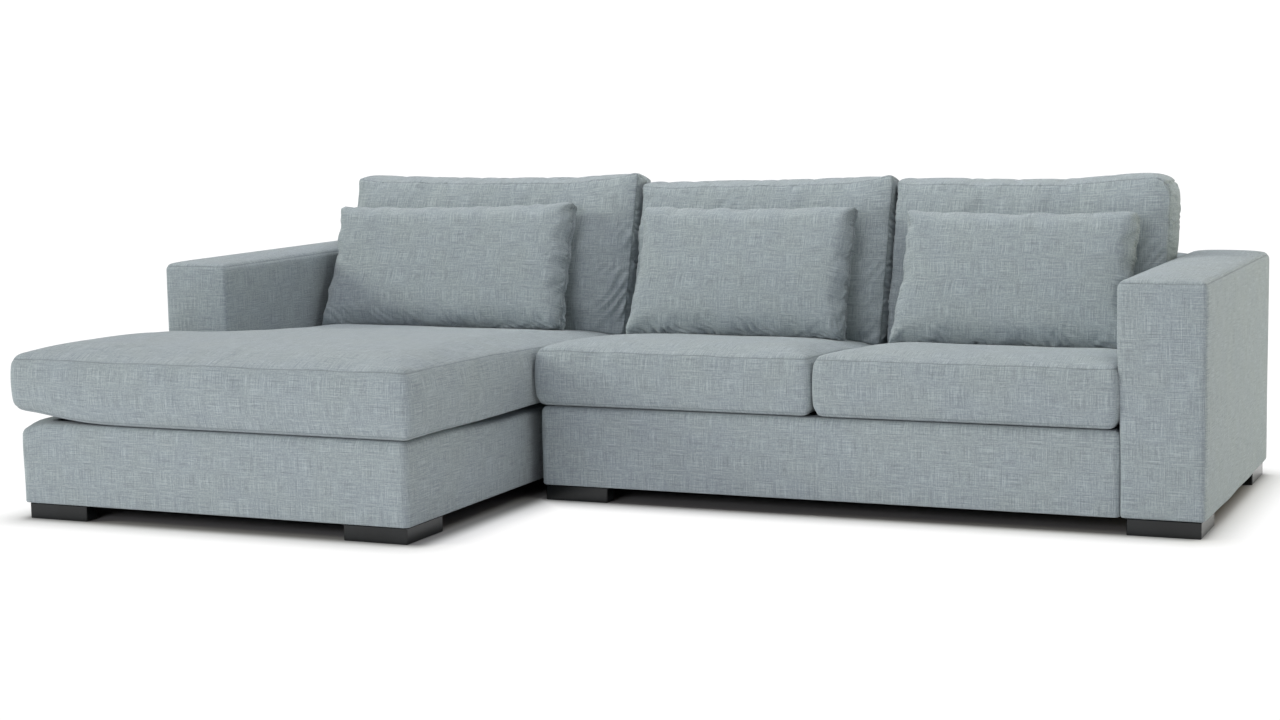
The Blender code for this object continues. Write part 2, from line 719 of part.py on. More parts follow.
def all_cushions():
    cushion, loose = cushion_cloth(), pillow_cloth()
    cloths = (cushion, loose)
    seats_left = CHAISE_CUSHION_RIGHT + CUSHION_SPLIT
    seats_right = RIGHT_ARM_INNER - CUSHION_CLEARANCE
    split = (seats_left + seats_right) / 2
    chaise = chaise_cushion(cushion)
    left_seat = seat_cushion("left_seat_cushion", seats_left, split - CUSHION_SPLIT / 2, cushion)
    right_seat = seat_cushion("right_seat_cushion", split + CUSHION_SPLIT / 2, seats_right, cushion)
    chaise_back = (ARM_WIDTH + BACK_CUSHION_ARM_GAP, CHAISE_CUSHION_RIGHT)
    right_back = (split + BACK_CUSHION_SPLIT, RIGHT_ARM_INNER - BACK_CUSHION_ARM_GAP)
    left_back = (seats_left + BACK_CUSHION_SET_IN, split - BACK_CUSHION_SPLIT / 4)
    return [
        cushion_stack("chaise", chaise, *chaise_back, CHAISE_PILLOW_WIDTH, CHAISE_PILLOW_SHIFT, cloths),
        cushion_stack("left", left_seat, *left_back, PILLOW_WIDTH, PILLOW_SHIFT, cloths),
        cushion_stack("right", right_seat, *right_back, PILLOW_WIDTH, PILLOW_SHIFT, cloths),
    ]


# Arms and backs
def left_arm(cloth, timber):
    block = Block((0.0, -UNIT_DEPTH, BASE_TOP + TOUCH), (ARM_WIDTH, 0.0, ARM_TOP), 0.0)
    hood("left_arm_cover", block, cloth)
    hood_frame("left_arm_frame", block, 0, timber)


def right_arm(cloth, timber):
    block = Block((RIGHT_ARM_INNER, -UNIT_DEPTH, UNDERSIDE), (RIGHT_ARM_OUTER, 0.0, ARM_TOP), 0.0)
    hood("right_arm_cover", block, cloth)
    return hood_frame("right_arm_frame", block, 0, timber)


def back(name, left, right, cloth, timber):
    foot = BASE_TOP + TOUCH
    front = -BACK_TOP_DEPTH - BACK_SLOPE * (BACK_TOP - foot)
    block = Block((left, front, foot), (right, 0.0, BACK_TOP), BACK_SLOPE)
    hood(f"{name}_cover", block, cloth)
    hood_frame(f"{name}_frame", block, 1, timber)


# Units
def base_parts(base, cross_along, cloth, timber, lining):
    sleeve(f"{base.unit}_base_cover", base.low, base.high, cloth)
    rails = front_and_back_rails(base, timber)
    side_rails(base, timber)
    cross_rail(base, cross_along, timber)
    deck_cloth(base, lining)
    dust_cover(base, lining)
    return rails


def chaise_unit(cloth, timber, lining, steel, lacquer, zinc):
    base = Base("chaise", CHAISE_LEFT, CHAISE_RIGHT, CHAISE_DEPTH)
    front, rear = base_parts(base, 0, cloth, timber, lining)
    chaise_springs(base, steel)
    left_arm(cloth, timber)
    back("chaise_back", ARM_WIDTH + TOUCH, CHAISE_RIGHT, cloth, timber)
    for end, y, way, held in (("front", -CHAISE_DEPTH, 1, front), ("rear", 0.0, -1, rear)):
        foot_with_screw("chaise", f"{end}_left", (CHAISE_LEFT, y), 1, way, held, lacquer, zinc)
        foot_with_screw("chaise", f"{end}_right", (CHAISE_RIGHT, y), -1, way, held, lacquer, zinc)


def seat_unit(cloth, timber, lining, steel, lacquer, zinc):
    base = Base("seat_unit", SEATS_LEFT, SEATS_RIGHT, UNIT_DEPTH)
    front, rear = base_parts(base, 1, cloth, timber, lining)
    seat_unit_springs(base, steel)
    arm_frame = right_arm(cloth, timber)
    back("seat_unit_back", SEATS_LEFT, RIGHT_ARM_INNER - TOUCH, cloth, timber)
    for end, y, way, held in (("front", -UNIT_DEPTH, 1, front), ("rear", 0.0, -1, rear)):
        foot_with_screw("seat_unit", f"{end}_left", (SEATS_LEFT, y), 1, way, held, lacquer, zinc)
        foot_with_screw("seat_unit", f"{end}_right", (RIGHT_ARM_OUTER, y), -1, way, arm_frame, lacquer, zinc)


def chaise_sofa():
    clear_scene()
    cloth, timber, lining = cover_cloth(), pine_timber(), lining_cloth()
    steel, lacquer, zinc = spring_steel(), black_lacquer(), zinc_steel()
    chaise_unit(cloth, timber, lining, steel, lacquer, zinc)
    seat_unit(cloth, timber, lining, steel, lacquer, zinc)
    unit_connector(zinc)
    all_cushions()
    # Everything hangs on one empty, which puts the origin at the bottom centre
    origin = bpy.data.objects.new("sofa_origin", None)
    bpy.context.scene.collection.objects.link(origin)
    origin.location = (-(CHAISE_CUSHION_LEFT + RIGHT_ARM_OUTER) / 2, -CHAISE_CUSHION_FRONT / 2, 0.0)
    for piece in bpy.data.objects:
        if piece.parent is None and piece is not origin:
            piece.parent = origin


chaise_sofa()
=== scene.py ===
import math

import bpy
import numpy as np
from mathutils import Matrix, Vector


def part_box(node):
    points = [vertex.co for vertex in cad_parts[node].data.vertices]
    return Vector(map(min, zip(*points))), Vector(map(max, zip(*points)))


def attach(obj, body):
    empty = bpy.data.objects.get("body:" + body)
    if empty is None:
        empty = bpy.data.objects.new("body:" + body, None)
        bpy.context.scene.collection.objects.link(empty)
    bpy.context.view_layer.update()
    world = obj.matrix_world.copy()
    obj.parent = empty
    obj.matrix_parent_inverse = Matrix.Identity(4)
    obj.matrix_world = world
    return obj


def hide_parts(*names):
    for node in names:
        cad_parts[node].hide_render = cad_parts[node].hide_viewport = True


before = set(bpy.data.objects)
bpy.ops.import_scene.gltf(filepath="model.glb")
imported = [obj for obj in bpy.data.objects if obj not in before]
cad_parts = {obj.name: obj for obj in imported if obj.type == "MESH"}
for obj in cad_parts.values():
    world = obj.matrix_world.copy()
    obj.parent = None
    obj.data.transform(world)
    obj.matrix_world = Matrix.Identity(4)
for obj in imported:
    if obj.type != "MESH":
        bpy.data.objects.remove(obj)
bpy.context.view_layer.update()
places = ("chaise", "left", "right")
tiny, small = 1e-9, 1e-6
spacingSamples, rollSamples = 4001, 3000
noSeam = 1.0  # the seam attribute where none is near
print("sofa: frame loaded")


def spaced(size, low, high, ease=1.0):
    # Lines from low to high: fine apart at both ends, easing to coarse over the band
    fine, coarse, band = ease * size["fine"], size["coarse"], size["band"]
    at = np.linspace(low, high, spacingSamples)
    edge = np.minimum(at - low, high - at)
    gap = fine + (coarse - fine) * np.clip(edge / band, 0, 1)
    count = np.concatenate([[0], np.cumsum((1 / gap[1:] + 1 / gap[:-1]) / 2 * np.diff(at))])
    steps = max(2, int(round(count[-1])))
    return np.interp(np.linspace(0, count[-1], steps + 1), count, at)


def smoothStep(low, high, value):
    # t t (3 - 2 t), t running from 0 at low to 1 at high
    t = np.clip((value - low) / (high - low), 0, 1)
    return t * t * (3 - 2 * t)


def bell(way, wide):
    # exp(-(way / wide)^2)
    return np.exp(-(way / wide) ** 2)


def boxOf(node):
    # The CAD node's lower and upper corner
    return [np.array(corner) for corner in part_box(node)]


ripples = dict(waves=9, pitches=(0.6, 1.7), fullTurn=6.283)


def ripple(seed, pitch, *coordinates):
    # Smooth noise: a sum of sines along random ways, with wavelengths about the pitch
    chance = np.random.default_rng(seed)
    total = 0
    for _ in range(ripples["waves"]):
        way = chance.normal(size=len(coordinates))
        way /= np.linalg.norm(way)
        wave = 2 * math.pi / (pitch * chance.uniform(*ripples["pitches"]))
        along = sum(w * c for w, c in zip(way, coordinates))
        total = total + np.sin(along * wave + chance.uniform(0, ripples["fullTurn"]))
    return total / math.sqrt(ripples["waves"])


class Lattice:
    # The skin of a block of lattice lines, less a notch of cells at its rear left.
    # ijk holds each point's line numbers, quads its faces, sides the axis that each face looks along.
    def __init__(self, xs, ys, zs, notch=None):
        nx, ny, nz = len(xs), len(ys), len(zs)
        full = np.zeros((nx + 1, ny + 1), bool)
        full[1:-1, 1:-1] = True
        if notch:
            full[1:1 + notch[0], 1 + notch[1]:-1] = False
        quads, sides = [], []

        def add(corners, axis, flip):
            block = np.stack([(i * ny + j) * nz + k for i, j, k in corners], -1).reshape(-1, 4)
            quads.append(block[:, ::-1] if flip else block)
            sides.append(np.full(len(block), axis))

        i, j = np.nonzero(full[1:-1, 1:-1])
        for k, flip in ((nz - 1, False), (0, True)):
            add([(i, j, k), (i + 1, j, k), (i + 1, j + 1, k), (i, j + 1, k)], 2, flip)
        k = np.arange(nz - 1)[None, :]
        upright = (
            (0, full[:-1, 1:-1], full[1:, 1:-1], (0, 0, 0, 1)),
            (1, full[1:-1, :-1], full[1:-1, 1:], (1, 0, 0, 0)),
        )
        for axis, here, there, (a, b, c, d) in upright:
            for outward, flip in ((here & ~there, False), (~here & there, True)):
                i, j = (line[:, None] for line in np.nonzero(outward))
                now, after = (i + a, j + b), (i + c, j + d)
                add([(*now, k), (*after, k), (*after, k + 1), (*now, k + 1)], axis, flip)
        quads, self.sides = np.concatenate(quads), np.concatenate(sides)
        kept, self.quads = np.unique(quads, return_inverse=True)
        self.quads = self.quads.reshape(-1, 4)
        self.ijk = np.stack([kept // (ny * nz), kept // nz % ny, kept % nz], 1)
        self.x, self.y, self.z = xs[self.ijk[:, 0]], ys[self.ijk[:, 1]], zs[self.ijk[:, 2]]

    def flatMap(self):
        # Each face's corners laid flat in metres, across and up its own side
        x, y, z = (line[self.quads] for line in (self.x, self.y, self.z))
        side = self.sides[:, None]
        return np.stack([np.where(side == 0, y, x), np.where(side == 2, y, z)], -1)


def makeMesh(name, points, quads, flat=None, lines=None):
    # A mesh object, with its cloth's flat map and any numbers of its points
    mesh = bpy.data.meshes.new(name)
    mesh.from_pydata(points.tolist(), [], quads.tolist())
    mesh.shade_smooth()
    if flat is not None:
        layer = mesh.uv_layers.new(name="cloth")
        layer.uv.foreach_set("vector", flat.reshape(-1).astype(np.float32))
    for key, values in (lines or {}).items():
        mesh.attributes.new(key, "FLOAT", "POINT").data.foreach_set("value", values.astype(np.float32))
    piece = bpy.data.objects.new(name, mesh)
    bpy.context.scene.collection.objects.link(piece)
    return piece


def normalsOf(points, quads):
    # Each point's mean of its faces' normals, from the faces' diagonals
    a, b, c, d = (points[quads[:, n]] for n in range(4))
    face = np.cross(c - a, d - b)
    total = np.zeros_like(points)
    for axis in range(3):
        for n in range(4):
            total[:, axis] += np.bincount(quads[:, n], face[:, axis], len(points))
    return total / np.maximum(np.linalg.norm(total, axis=1, keepdims=True), 1e-12)


def getPoints(mesh):
    # All the mesh's points as rows of x, y, z
    points = np.empty(len(mesh.vertices) * 3, np.float32)
    mesh.vertices.foreach_get("co", points)
    return points.reshape(-1, 3).astype(float)


def setPoints(mesh, points):
    # Moves the mesh's points to these rows
    mesh.vertices.foreach_set("co", points.astype(np.float32).reshape(-1))
    mesh.update()


def subdivide(piece):
    # Catmull-Clark, once, applied to the mesh
    finer = piece.modifiers.new("finer", "SUBSURF")
    finer.levels = finer.render_levels = 1
    finer.boundary_smooth = "PRESERVE_CORNERS"
    applyModifiers(piece)


def applyModifiers(piece):
    # The piece's mesh becomes what its modifiers make of it
    view = bpy.context.evaluated_depsgraph_get()
    mesh = bpy.data.meshes.new_from_object(piece.evaluated_get(view), depsgraph=view)
    piece.modifiers.clear()
    old, piece.data = piece.data, mesh
    bpy.data.meshes.remove(old)
    mesh.shade_smooth()


swelling = dict(frames=16, quality=5, mass=0.3, stretch=15, shear=5)


def bubble(pieces):
    # Blows up all these cloths at once and returns where each one's points end. Each piece is
    # (object, held points, pressure, how much roomier the cloth is than its start, bending stiffness).
    scene, frames = bpy.context.scene, swelling["frames"]
    for piece, held, pressure, room, bend in pieces:
        group = piece.vertex_groups.new(name="held")
        group.add(np.nonzero(held)[0].tolist(), 1.0, "REPLACE")
        cloth = piece.modifiers.new("swell", "CLOTH")
        values = cloth.settings
        values.quality, values.mass = swelling["quality"], swelling["mass"]
        values.tension_stiffness = values.compression_stiffness = swelling["stretch"]
        values.shear_stiffness, values.bending_stiffness = swelling["shear"], bend
        values.use_pressure, values.uniform_pressure_force = True, pressure
        values.shrink_min, values.vertex_group_mass = -room, "held"
        values.effector_weights.gravity = 0
        cloth.collision_settings.use_collision = False
        cloth.point_cache.frame_start, cloth.point_cache.frame_end = 1, frames
    for number in range(1, frames + 1):
        scene.frame_set(number)
    ends = []
    for piece in (row[0] for row in pieces):
        ends.append(getPoints(piece.evaluated_get(bpy.context.evaluated_depsgraph_get()).to_mesh()))
    for piece in (row[0] for row in pieces):
        piece.modifiers.clear()
        piece.vertex_groups.clear()
    scene.frame_set(1)
    return ends


def capped(start, end, most):
    # The end points, each way from the start shortened from length to most tanh(length / most)
    move = end - start
    length = np.maximum(np.linalg.norm(move, axis=1, keepdims=True), tiny)
    return start + move * np.minimum(1, most * np.tanh(length / most) / length)


def rolled(reach, rise, power):
    # A rounded edge, (1 - in / reach)^p + (up / rise)^p = 1: its length, its way in, its share of the rise
    t = np.linspace(0, math.pi / 2, rollSamples)
    inward = reach * (1 - np.cos(t) ** (2 / power))
    upward = np.sin(t) ** (2 / power)
    length = np.concatenate([[0], np.cumsum(np.hypot(np.diff(inward), rise * np.diff(upward)))])
    return length, inward, upward


# Of all folds: the wandering and its wavelength in pitches; the least, the change, its wavelength in
# pitches and the most of their strength; and how tall a sharp one's ridge is
folds = dict(wander=(0.3, 2.5), strength=(0.55, 0.6, 3.5, 1.5), ridge=1.6)


def gathers(seed, along, away, pitch, depth, length, slant=0.0, sharp=False):
    # The height of short folds across a seam: depth sin(2 pi along / pitch), wandering and slanting,
    # fading as exp(-away / length). Sharp ones are ridge |sin(pi along / pitch)| - 1: narrow pleats.
    wander, wanderPitch = folds["wander"]
    least, change, changePitch, most = folds["strength"]
    line = along + slant * away + wander * pitch * ripple(seed, pitch * wanderPitch, along, away)
    strong = np.clip(least + change * ripple(seed + 1, pitch * changePitch, along, away), 0, most)
    turn = math.pi * line / pitch
    wave = folds["ridge"] * np.abs(np.sin(turn)) - 1 if sharp else np.sin(2 * turn)
    return depth * strong * wave * np.exp(-away / length)


def readLine(mesh, key):
    # One of the mesh's own numbers at its points, taken off the mesh
    values = np.empty(len(mesh.vertices), np.float32)
    mesh.attributes[key].data.foreach_get("value", values)
    mesh.attributes.remove(mesh.attributes[key])
    return values.astype(float)


def raiseBy(mesh, heights):
    # Every point moves along its normal by its height
    normals = np.empty(len(mesh.vertices) * 3, np.float32)
    mesh.vertex_normals.foreach_get("vector", normals)
    setPoints(mesh, getPoints(mesh) + normals.reshape(-1, 3) * heights[:, None])


def keepOut(piece, neighbours, gap=0.0006, most=0.03):
    # Presses the piece's points out of its neighbours, onto their skins, and leaves any that would move
    # further than most
    for other in neighbours:
        start = getPoints(piece.data)
        press = piece.modifiers.new("press", "SHRINKWRAP")
        press.target, press.wrap_method, press.wrap_mode = other, "NEAREST_SURFACEPOINT", "OUTSIDE"
        press.offset = gap
        applyModifiers(piece)
        end = getPoints(piece.data)
        far = np.linalg.norm(end - start, axis=1, keepdims=True) > most
        setPoints(piece.data, np.where(far, start, end))


class Signal:
    # A socket that Python's operators work on: each adds a Math node
    def __init__(self, shade, socket):
        self.shade, self.socket = shade, socket

    def math(self, operation, *others, clamp=False):
        inputs = dict(enumerate((self, *others)))
        return self.shade.node("Math", dict(operation=operation, use_clamp=clamp), inputs)

    def __add__(self, other):
        return self.math("ADD", other)

    def __sub__(self, other):
        return self.math("SUBTRACT", other)

    def __rsub__(self, other):
        return self.shade.node("Math", dict(operation="SUBTRACT"), {0: other, 1: self})

    def __mul__(self, other):
        return self.math("MULTIPLY", other)

    def __pow__(self, other):
        return self.math("POWER", other)

    __radd__, __rmul__ = __add__, __mul__

    def sine(self):
        return self.math("SINE")

    def size(self):
        return self.math("ABSOLUTE")

    def kept(self):
        # No less than 0 and no more than 1
        return self.math("ADD", 0.0, clamp=True)

    def ramp(self, low, high):
        # 0 below low, 1 above high, smooth between
        ends = {"Value": self, "From Min": low, "From Max": high}
        return self.shade.node("MapRange", dict(interpolation_type="SMOOTHSTEP"), ends)


class Shade:
    # One material. node() adds any node: its type, its settings, then the values or links of its sockets
    def __init__(self, name):
        self.material = bpy.data.materials.new(name)
        self.material.use_nodes = True
        self.tree = self.material.node_tree
        self.tree.nodes.clear()

    def node(self, kind, settings={}, sockets={}, out=0):
        prefix = "" if kind.startswith("ShaderNode") else "ShaderNode"
        made = self.tree.nodes.new(prefix + kind)
        for key, value in settings.items():
            setattr(made, key, value)
        for key, value in sockets.items():
            if isinstance(value, Signal):
                self.tree.links.new(value.socket, made.inputs[key])
            else:
                made.inputs[key].default_value = value
        return Signal(self, made.outputs[out])

    def mix(self, factor, first, second):
        # Two colours by a factor
        first, second = (value if isinstance(value, Signal) else (*value, 1) for value in (first, second))
        return self.node("Mix", dict(data_type="RGBA"), {0: factor, 6: first, 7: second}, out=2)

    def noise(self, vector, scale, detail=2.0):
        values = {"Vector": vector, "Scale": scale, "Detail": detail, "Roughness": 0.5}
        return self.node("TexNoise", {}, values)

    def stretched(self, vector, across, up, shift=0.0):
        # The vector scaled unlike across and up, which draws noise out into threads
        values = {"Vector": vector, "Scale": (across, up, 1), "Location": (shift, shift / 2, 0)}
        return self.node("Mapping", {}, values)

    def parts(self, vector):
        # A vector's first two numbers
        split = self.node("SeparateXYZ", {}, {0: vector}).socket.node
        return Signal(self, split.outputs[0]), Signal(self, split.outputs[1])

    def surface(self, colour, roughness, height, strength, distance, **values):
        # The finished material, its height a bump
        bump = self.node("Bump", {}, {"Height": height, "Strength": strength, "Distance": distance})
        sockets = {"Base Color": colour, "Roughness": roughness, "Normal": bump, **values}
        return self.done(self.node("BsdfPrincipled", {}, sockets))

    def done(self, shader):
        output = self.tree.nodes.new("ShaderNodeOutputMaterial")
        self.tree.links.new(shader.socket, output.inputs["Surface"])
        return self.material


linen = dict(
    light=(0.455, 0.515, 0.536),
    middle=(0.300, 0.345, 0.364),
    dark=(0.156, 0.184, 0.203),
    cool=(0.290, 0.338, 0.372),
    warm=(0.312, 0.358, 0.356),
    # The colour of the painted shade in the seam's groove
    seamShadeColour=(0.078, 0.092, 0.1015),
    slub=(440.0, 17.0),
    thread=(760.0, 110.0),
    patch=9.0,
    threadPitch=0.0016,
    threadRange=(0.34, 0.66),
    paleRange=(0.54, 0.72),
    deepRange=(0.28, 0.46),
    patchRange=(0.35, 0.65),
    creaseRange=(0.0008, 0.0042),
    # Crease: how strongly painted shade darkens the seam's groove
    shares=dict(middle=0.45, pale=0.85, deep=0.62, tint=0.22, crease=0.34),
    heights=dict(threads=0.25, thread=0.6, slubs=0.5, crease=0.8),
    sheen=0.18,
    sheenRoughness=0.45,
    specular=0.2,
    roughness=(0.84, 0.1),
    bump=(0.5, 0.0010),
)


def linenMaterial(name):
    # Plain woven cloth: pale and dark slubs drawn out along warp and weft over finer threads, a slow drift of
    # colour, a fine bump of threads, and a narrow line of painted shade in the seam's groove, where the
    # piece's seam attribute is near zero
    shade, shares = Shade(name), linen["shares"]
    cloth = shade.node("UVMap", dict(uv_map="cloth"))

    def crossed(thick, long, first, second):
        # The same noise drawn out along warp and along weft
        ways = (thick, long, first), (long, thick, second)
        return [shade.noise(shade.stretched(cloth, *way), 1.0) for way in ways]

    slubs = crossed(*linen["slub"], 0.0, 3.7)
    fine = crossed(*linen["thread"], 1.3, 5.1)
    thread = ((fine[0] + fine[1]) * 0.5).ramp(*linen["threadRange"])
    pale = (slubs[0].ramp(*linen["paleRange"]) + slubs[1].ramp(*linen["paleRange"])).kept()
    deep = (1 - slubs[0].ramp(*linen["deepRange"]) + 1 - slubs[1].ramp(*linen["deepRange"])).kept()
    patch = shade.noise(cloth, linen["patch"], 3.0)
    tint = shade.mix(patch.ramp(*linen["patchRange"]), linen["cool"], linen["warm"])
    colour = shade.mix(thread, linen["dark"], linen["light"])
    colour = shade.mix(shares["middle"], colour, linen["middle"])
    colour = shade.mix(pale * shares["pale"], colour, linen["light"])
    colour = shade.mix(deep * shares["deep"], colour, linen["dark"])
    colour = shade.mix(shares["tint"], colour, tint)
    seam = shade.node("Attribute", dict(attribute_name="seam"), out=2)
    # The seam's fine groove: a bump, and painted shade darkening the colour along it
    crease = 1 - seam.size().ramp(*linen["creaseRange"])
    colour = shade.mix(crease * shares["crease"], colour, linen["seamShadeColour"])
    across, up = shade.parts(cloth)
    turn = 2 * math.pi / linen["threadPitch"]
    threads = (across * turn).sine() * (up * turn).sine()
    tall = linen["heights"]
    height = threads * tall["threads"] + thread * tall["thread"]
    height = height + (pale - deep) * tall["slubs"] - crease * tall["crease"]
    rough, rougher = linen["roughness"]
    gloss = {"Sheen Weight": linen["sheen"], "Sheen Roughness": linen["sheenRoughness"]}
    gloss["Specular IOR Level"] = linen["specular"]
    return shade.surface(colour, rough + thread * rougher, height, *linen["bump"], **gloss)


lacquerLook = dict(
    colours=((0.0035, 0.0045, 0.005), (0.007, 0.009, 0.010)),
    grain=(14.0, 160.0),
    cloud=9.0,
    roughness=(0.06, 0.14),
    specular=0.42,
    bump=(0.06, 0.0004),
)


def lacquerMaterial():
    # Near-black lacquer on wood: a faint grain along the board, cloudy roughness and wear
    shade, look = Shade("black_lacquer_finish"), lacquerLook
    place = shade.node("TexCoord", out=3)
    grain = shade.noise(shade.stretched(place, *look["grain"]), 1.0, 4.0)
    cloud = shade.noise(place, look["cloud"], 3.0)
    colour = shade.mix(grain.ramp(0.3, 0.7), *look["colours"])
    rough, rougher = look["roughness"]
    gloss = {"Specular IOR Level": look["specular"]}
    return shade.surface(colour, rough + cloud * rougher, grain * 0.4 + cloud * 0.2, *look["bump"], **gloss)


pineLook = dict(
    colours=((0.62, 0.45, 0.26), (0.47, 0.3, 0.15)),
    dark=(0.33, 0.2, 0.1),
    rings=5.0,
    ringCount=70.0,
    bend=(3.0, 9.0),
    fibres=(40.0, 320.0),
    roughness=(0.62, 0.15),
    bump=(0.2, 0.0006),
)


def pineMaterial():
    # Softwood: rings as the sine of a drawn-out noise, bent by a slow one, and fine dark fibres
    shade, look = Shade("pine_finish"), pineLook
    place = shade.node("TexCoord", out=3)
    scale, much = look["bend"]
    bend = shade.noise(place, scale, 3.0)
    rings = shade.noise(shade.stretched(place, look["rings"], look["rings"]), 1.0, 2.0)
    lines = ((rings * look["ringCount"] + bend * much).sine() * 0.5 + 0.5).kept()
    fine = shade.noise(shade.stretched(place, *look["fibres"]), 1.0, 3.0)
    colour = shade.mix(lines, *look["colours"])
    colour = shade.mix(fine.ramp(0.4, 0.8) * 0.35, colour, look["dark"])
    rough, rougher = look["roughness"]
    return shade.surface(colour, rough + fine * rougher, fine + lines * 0.3, *look["bump"])


steelLook = dict(cloud=60.0, spots=420.0, darker=0.82, rougher=0.18, bump=(0.08, 0.0002))


def steelMaterial(name, tone, rough):
    # Drawn or plated steel with cloudy tone and roughness and fine spots
    shade, look = Shade(name), steelLook
    place = shade.node("TexCoord", out=3)
    cloud = shade.noise(place, look["cloud"], 3.0)
    spots = shade.noise(place, look["spots"], 2.0)
    colour = shade.mix(cloud.ramp(0.3, 0.7), tuple(look["darker"] * v for v in tone), tone)
    return shade.surface(colour, rough + cloud * look["rougher"], spots, *look["bump"], Metallic=1.0)


liningLook = dict(
    colours=((0.022, 0.023, 0.026), (0.06, 0.062, 0.067)),
    pale=(0.09, 0.09, 0.092),
    felt=700.0,
    patch=30.0,
    roughness=(0.9, 0.08),
    bump=(0.4, 0.0006),
)


def liningMaterial():
    # Black spun cloth: short matted fibres and a slow drift of tone
    shade, look = Shade("lining_finish"), liningLook
    cloth = shade.node("UVMap", dict(uv_map="cloth"))
    felt = shade.noise(cloth, look["felt"], 4.0)
    patch = shade.noise(cloth, look["patch"], 3.0)
    colour = shade.mix(felt.ramp(0.35, 0.65), *look["colours"])
    colour = shade.mix(patch.ramp(0.4, 0.75) * 0.3, colour, look["pale"])
    rough, rougher = look["roughness"]
    return shade.surface(colour, rough + felt * rougher, felt + patch * 0.5, *look["bump"])


coverLinen = linenMaterial("cover_linen")
cushionLinen = linenMaterial("cushion_linen")
pillowLinen = linenMaterial("pillow_linen")
lacquer, pine, lining = lacquerMaterial(), pineMaterial(), liningMaterial()
springSteel = steelMaterial("spring_steel_finish", (0.36, 0.36, 0.38), 0.32)
zincSteel = steelMaterial("zinc_finish", (0.62, 0.62, 0.6), 0.3)


def dress(piece, material, slot, body, *nodes):
    # A finished piece: its material, its slot (not used), the CAD nodes it stands for and the body it moves
    # with
    piece.data.materials.clear()
    piece.data.materials.append(material)
    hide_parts(*nodes)
    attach(piece, body)
    print(f"sofa: {piece.name}, {len(piece.data.polygons)} faces")
    return piece


class Edges:
    # How far each lattice point lies, seen from above, from the sides of a block less its notch
    def __init__(self, lattice, low, high, notch=None):
        x, y = lattice.x, lattice.y
        self.low, self.high = low, high
        self.toSides = np.stack([x - low[0], high[0] - x, y - low[1], high[1] - y])
        if notch:
            self.toNotch = np.hypot(np.maximum(x - notch[0], 0), np.maximum(notch[1] - y, 0))
            rear = x <= notch[0] + tiny
            left = y >= notch[1] - tiny
            self.toSides[0] = np.where(left, np.maximum(x - notch[0], 0), self.toSides[0])
            self.toSides[3] = np.where(rear, np.maximum(notch[1] - y, 0), self.toSides[3])
            self.distance = np.minimum(self.toSides.min(0), self.toNotch)
        else:
            self.distance = self.toSides.min(0)


def roundedBlock(lattice, low, high, size, notch=None):
    # The lattice's points with its edges rolled over and its upright corners rounded in plan.
    # A roll turns the square edge (1, h) or (d, 1) onto the circle through the same angle;
    # a corner turns the square (a, b) onto the disc as (a, b) max(a, b) / |(a, b)|.
    edges, corner = Edges(lattice, low, high, notch), size["corner"]
    x, y, z = lattice.x.copy(), lattice.y.copy(), lattice.z.copy()
    inset = edges.distance.copy()
    for (across, drop), below in ((size["topRoll"], False), (size["bottomRoll"], True)):
        rise = (z - low[2]) if below else (high[2] - z)
        near = (edges.distance < across) & (rise < drop)
        a, b = 1 - edges.distance / across, 1 - rise / drop
        reach = np.maximum(a, b) / np.maximum(np.hypot(a, b), tiny)
        inset = np.where(near, across * (1 - a * reach), inset)
        fall = drop * (1 - b * reach)
        z = np.where(near, low[2] + fall if below else high[2] - fall, z)
    moved = inset - edges.distance
    toLeft, toRight, toFront, toRear = edges.toSides
    leftNear, frontNear = toLeft < toRight, toFront < toRear
    dx, dy = np.minimum(toLeft, toRight), np.minimum(toFront, toRear)
    wayX, wayY = np.where(leftNear, 1.0, -1.0), np.where(frontNear, 1.0, -1.0)
    convex = (dx < corner) & (dy < corner)
    if notch:
        atX = (x > notch[0] - tiny) & (x < notch[0] + corner)
        convex &= ~(atX & (y < notch[1] + tiny) & (y > notch[1] - corner))
    a, b = 1 - dx / corner, 1 - dy / corner
    stretch = (1 - (np.minimum(dx, dy) + moved) / corner) / np.maximum(np.hypot(a, b), tiny)
    stretch = np.where(np.maximum(a, b) < tiny, 1.0, stretch)
    straightX = np.where(dx <= dy, wayX * moved, 0.0)
    straightY = np.where(dy < dx, wayY * moved, 0.0)
    newX = np.where(convex, x - wayX * (dx - corner) - wayX * a * corner * stretch, x + straightX)
    newY = np.where(convex, y - wayY * (dy - corner) - wayY * b * corner * stretch, y + straightY)
    if notch:
        # Round the inner corner the skin moves straight away from it
        gap = edges.toNotch
        inner = (edges.distance == gap) & (x >= notch[0]) & (y <= notch[1])
        wx = np.where(gap > tiny, (x - notch[0]) / np.maximum(gap, tiny), math.sqrt(0.5))
        wy = np.where(gap > tiny, (y - notch[1]) / np.maximum(gap, tiny), -math.sqrt(0.5))
        newX, newY = np.where(inner, x + wx * moved, newX), np.where(inner, y + wy * moved, newY)
    return np.stack([newX, newY, z], 1), edges


def drawnIn(points, edges, sags, reach, less=0.8):
    # Each side moves in by its sag times 4 t (1 - t), t running along the side, less with the way in
    low, high = edges.low, edges.high
    tx = np.clip((points[:, 0] - low[0]) / (high[0] - low[0]), 0, 1)
    ty = np.clip((points[:, 1] - low[1]) / (high[1] - low[1]), 0, 1)
    along = (ty, ty, tx, tx)
    moved = points.copy()
    for side, (axis, way) in enumerate(((0, 1), (0, -1), (1, 1), (1, -1))):
        t = along[side]
        fade = 1 - less * np.clip(edges.toSides[side] / reach, 0, 1)
        moved[:, axis] += way * sags[side] * 4 * t * (1 - t) * fade
    return moved


def seamLine(lattice, edges, low, high):
    # Distance along the skin to the nearer of the seams, which run round the top and the bottom
    upper = np.where(lattice.z >= high[2] - tiny, edges.distance, high[2] - lattice.z)
    lower = np.where(lattice.z <= low[2] + tiny, edges.distance, lattice.z - low[2])
    return np.minimum(upper, lower), upper


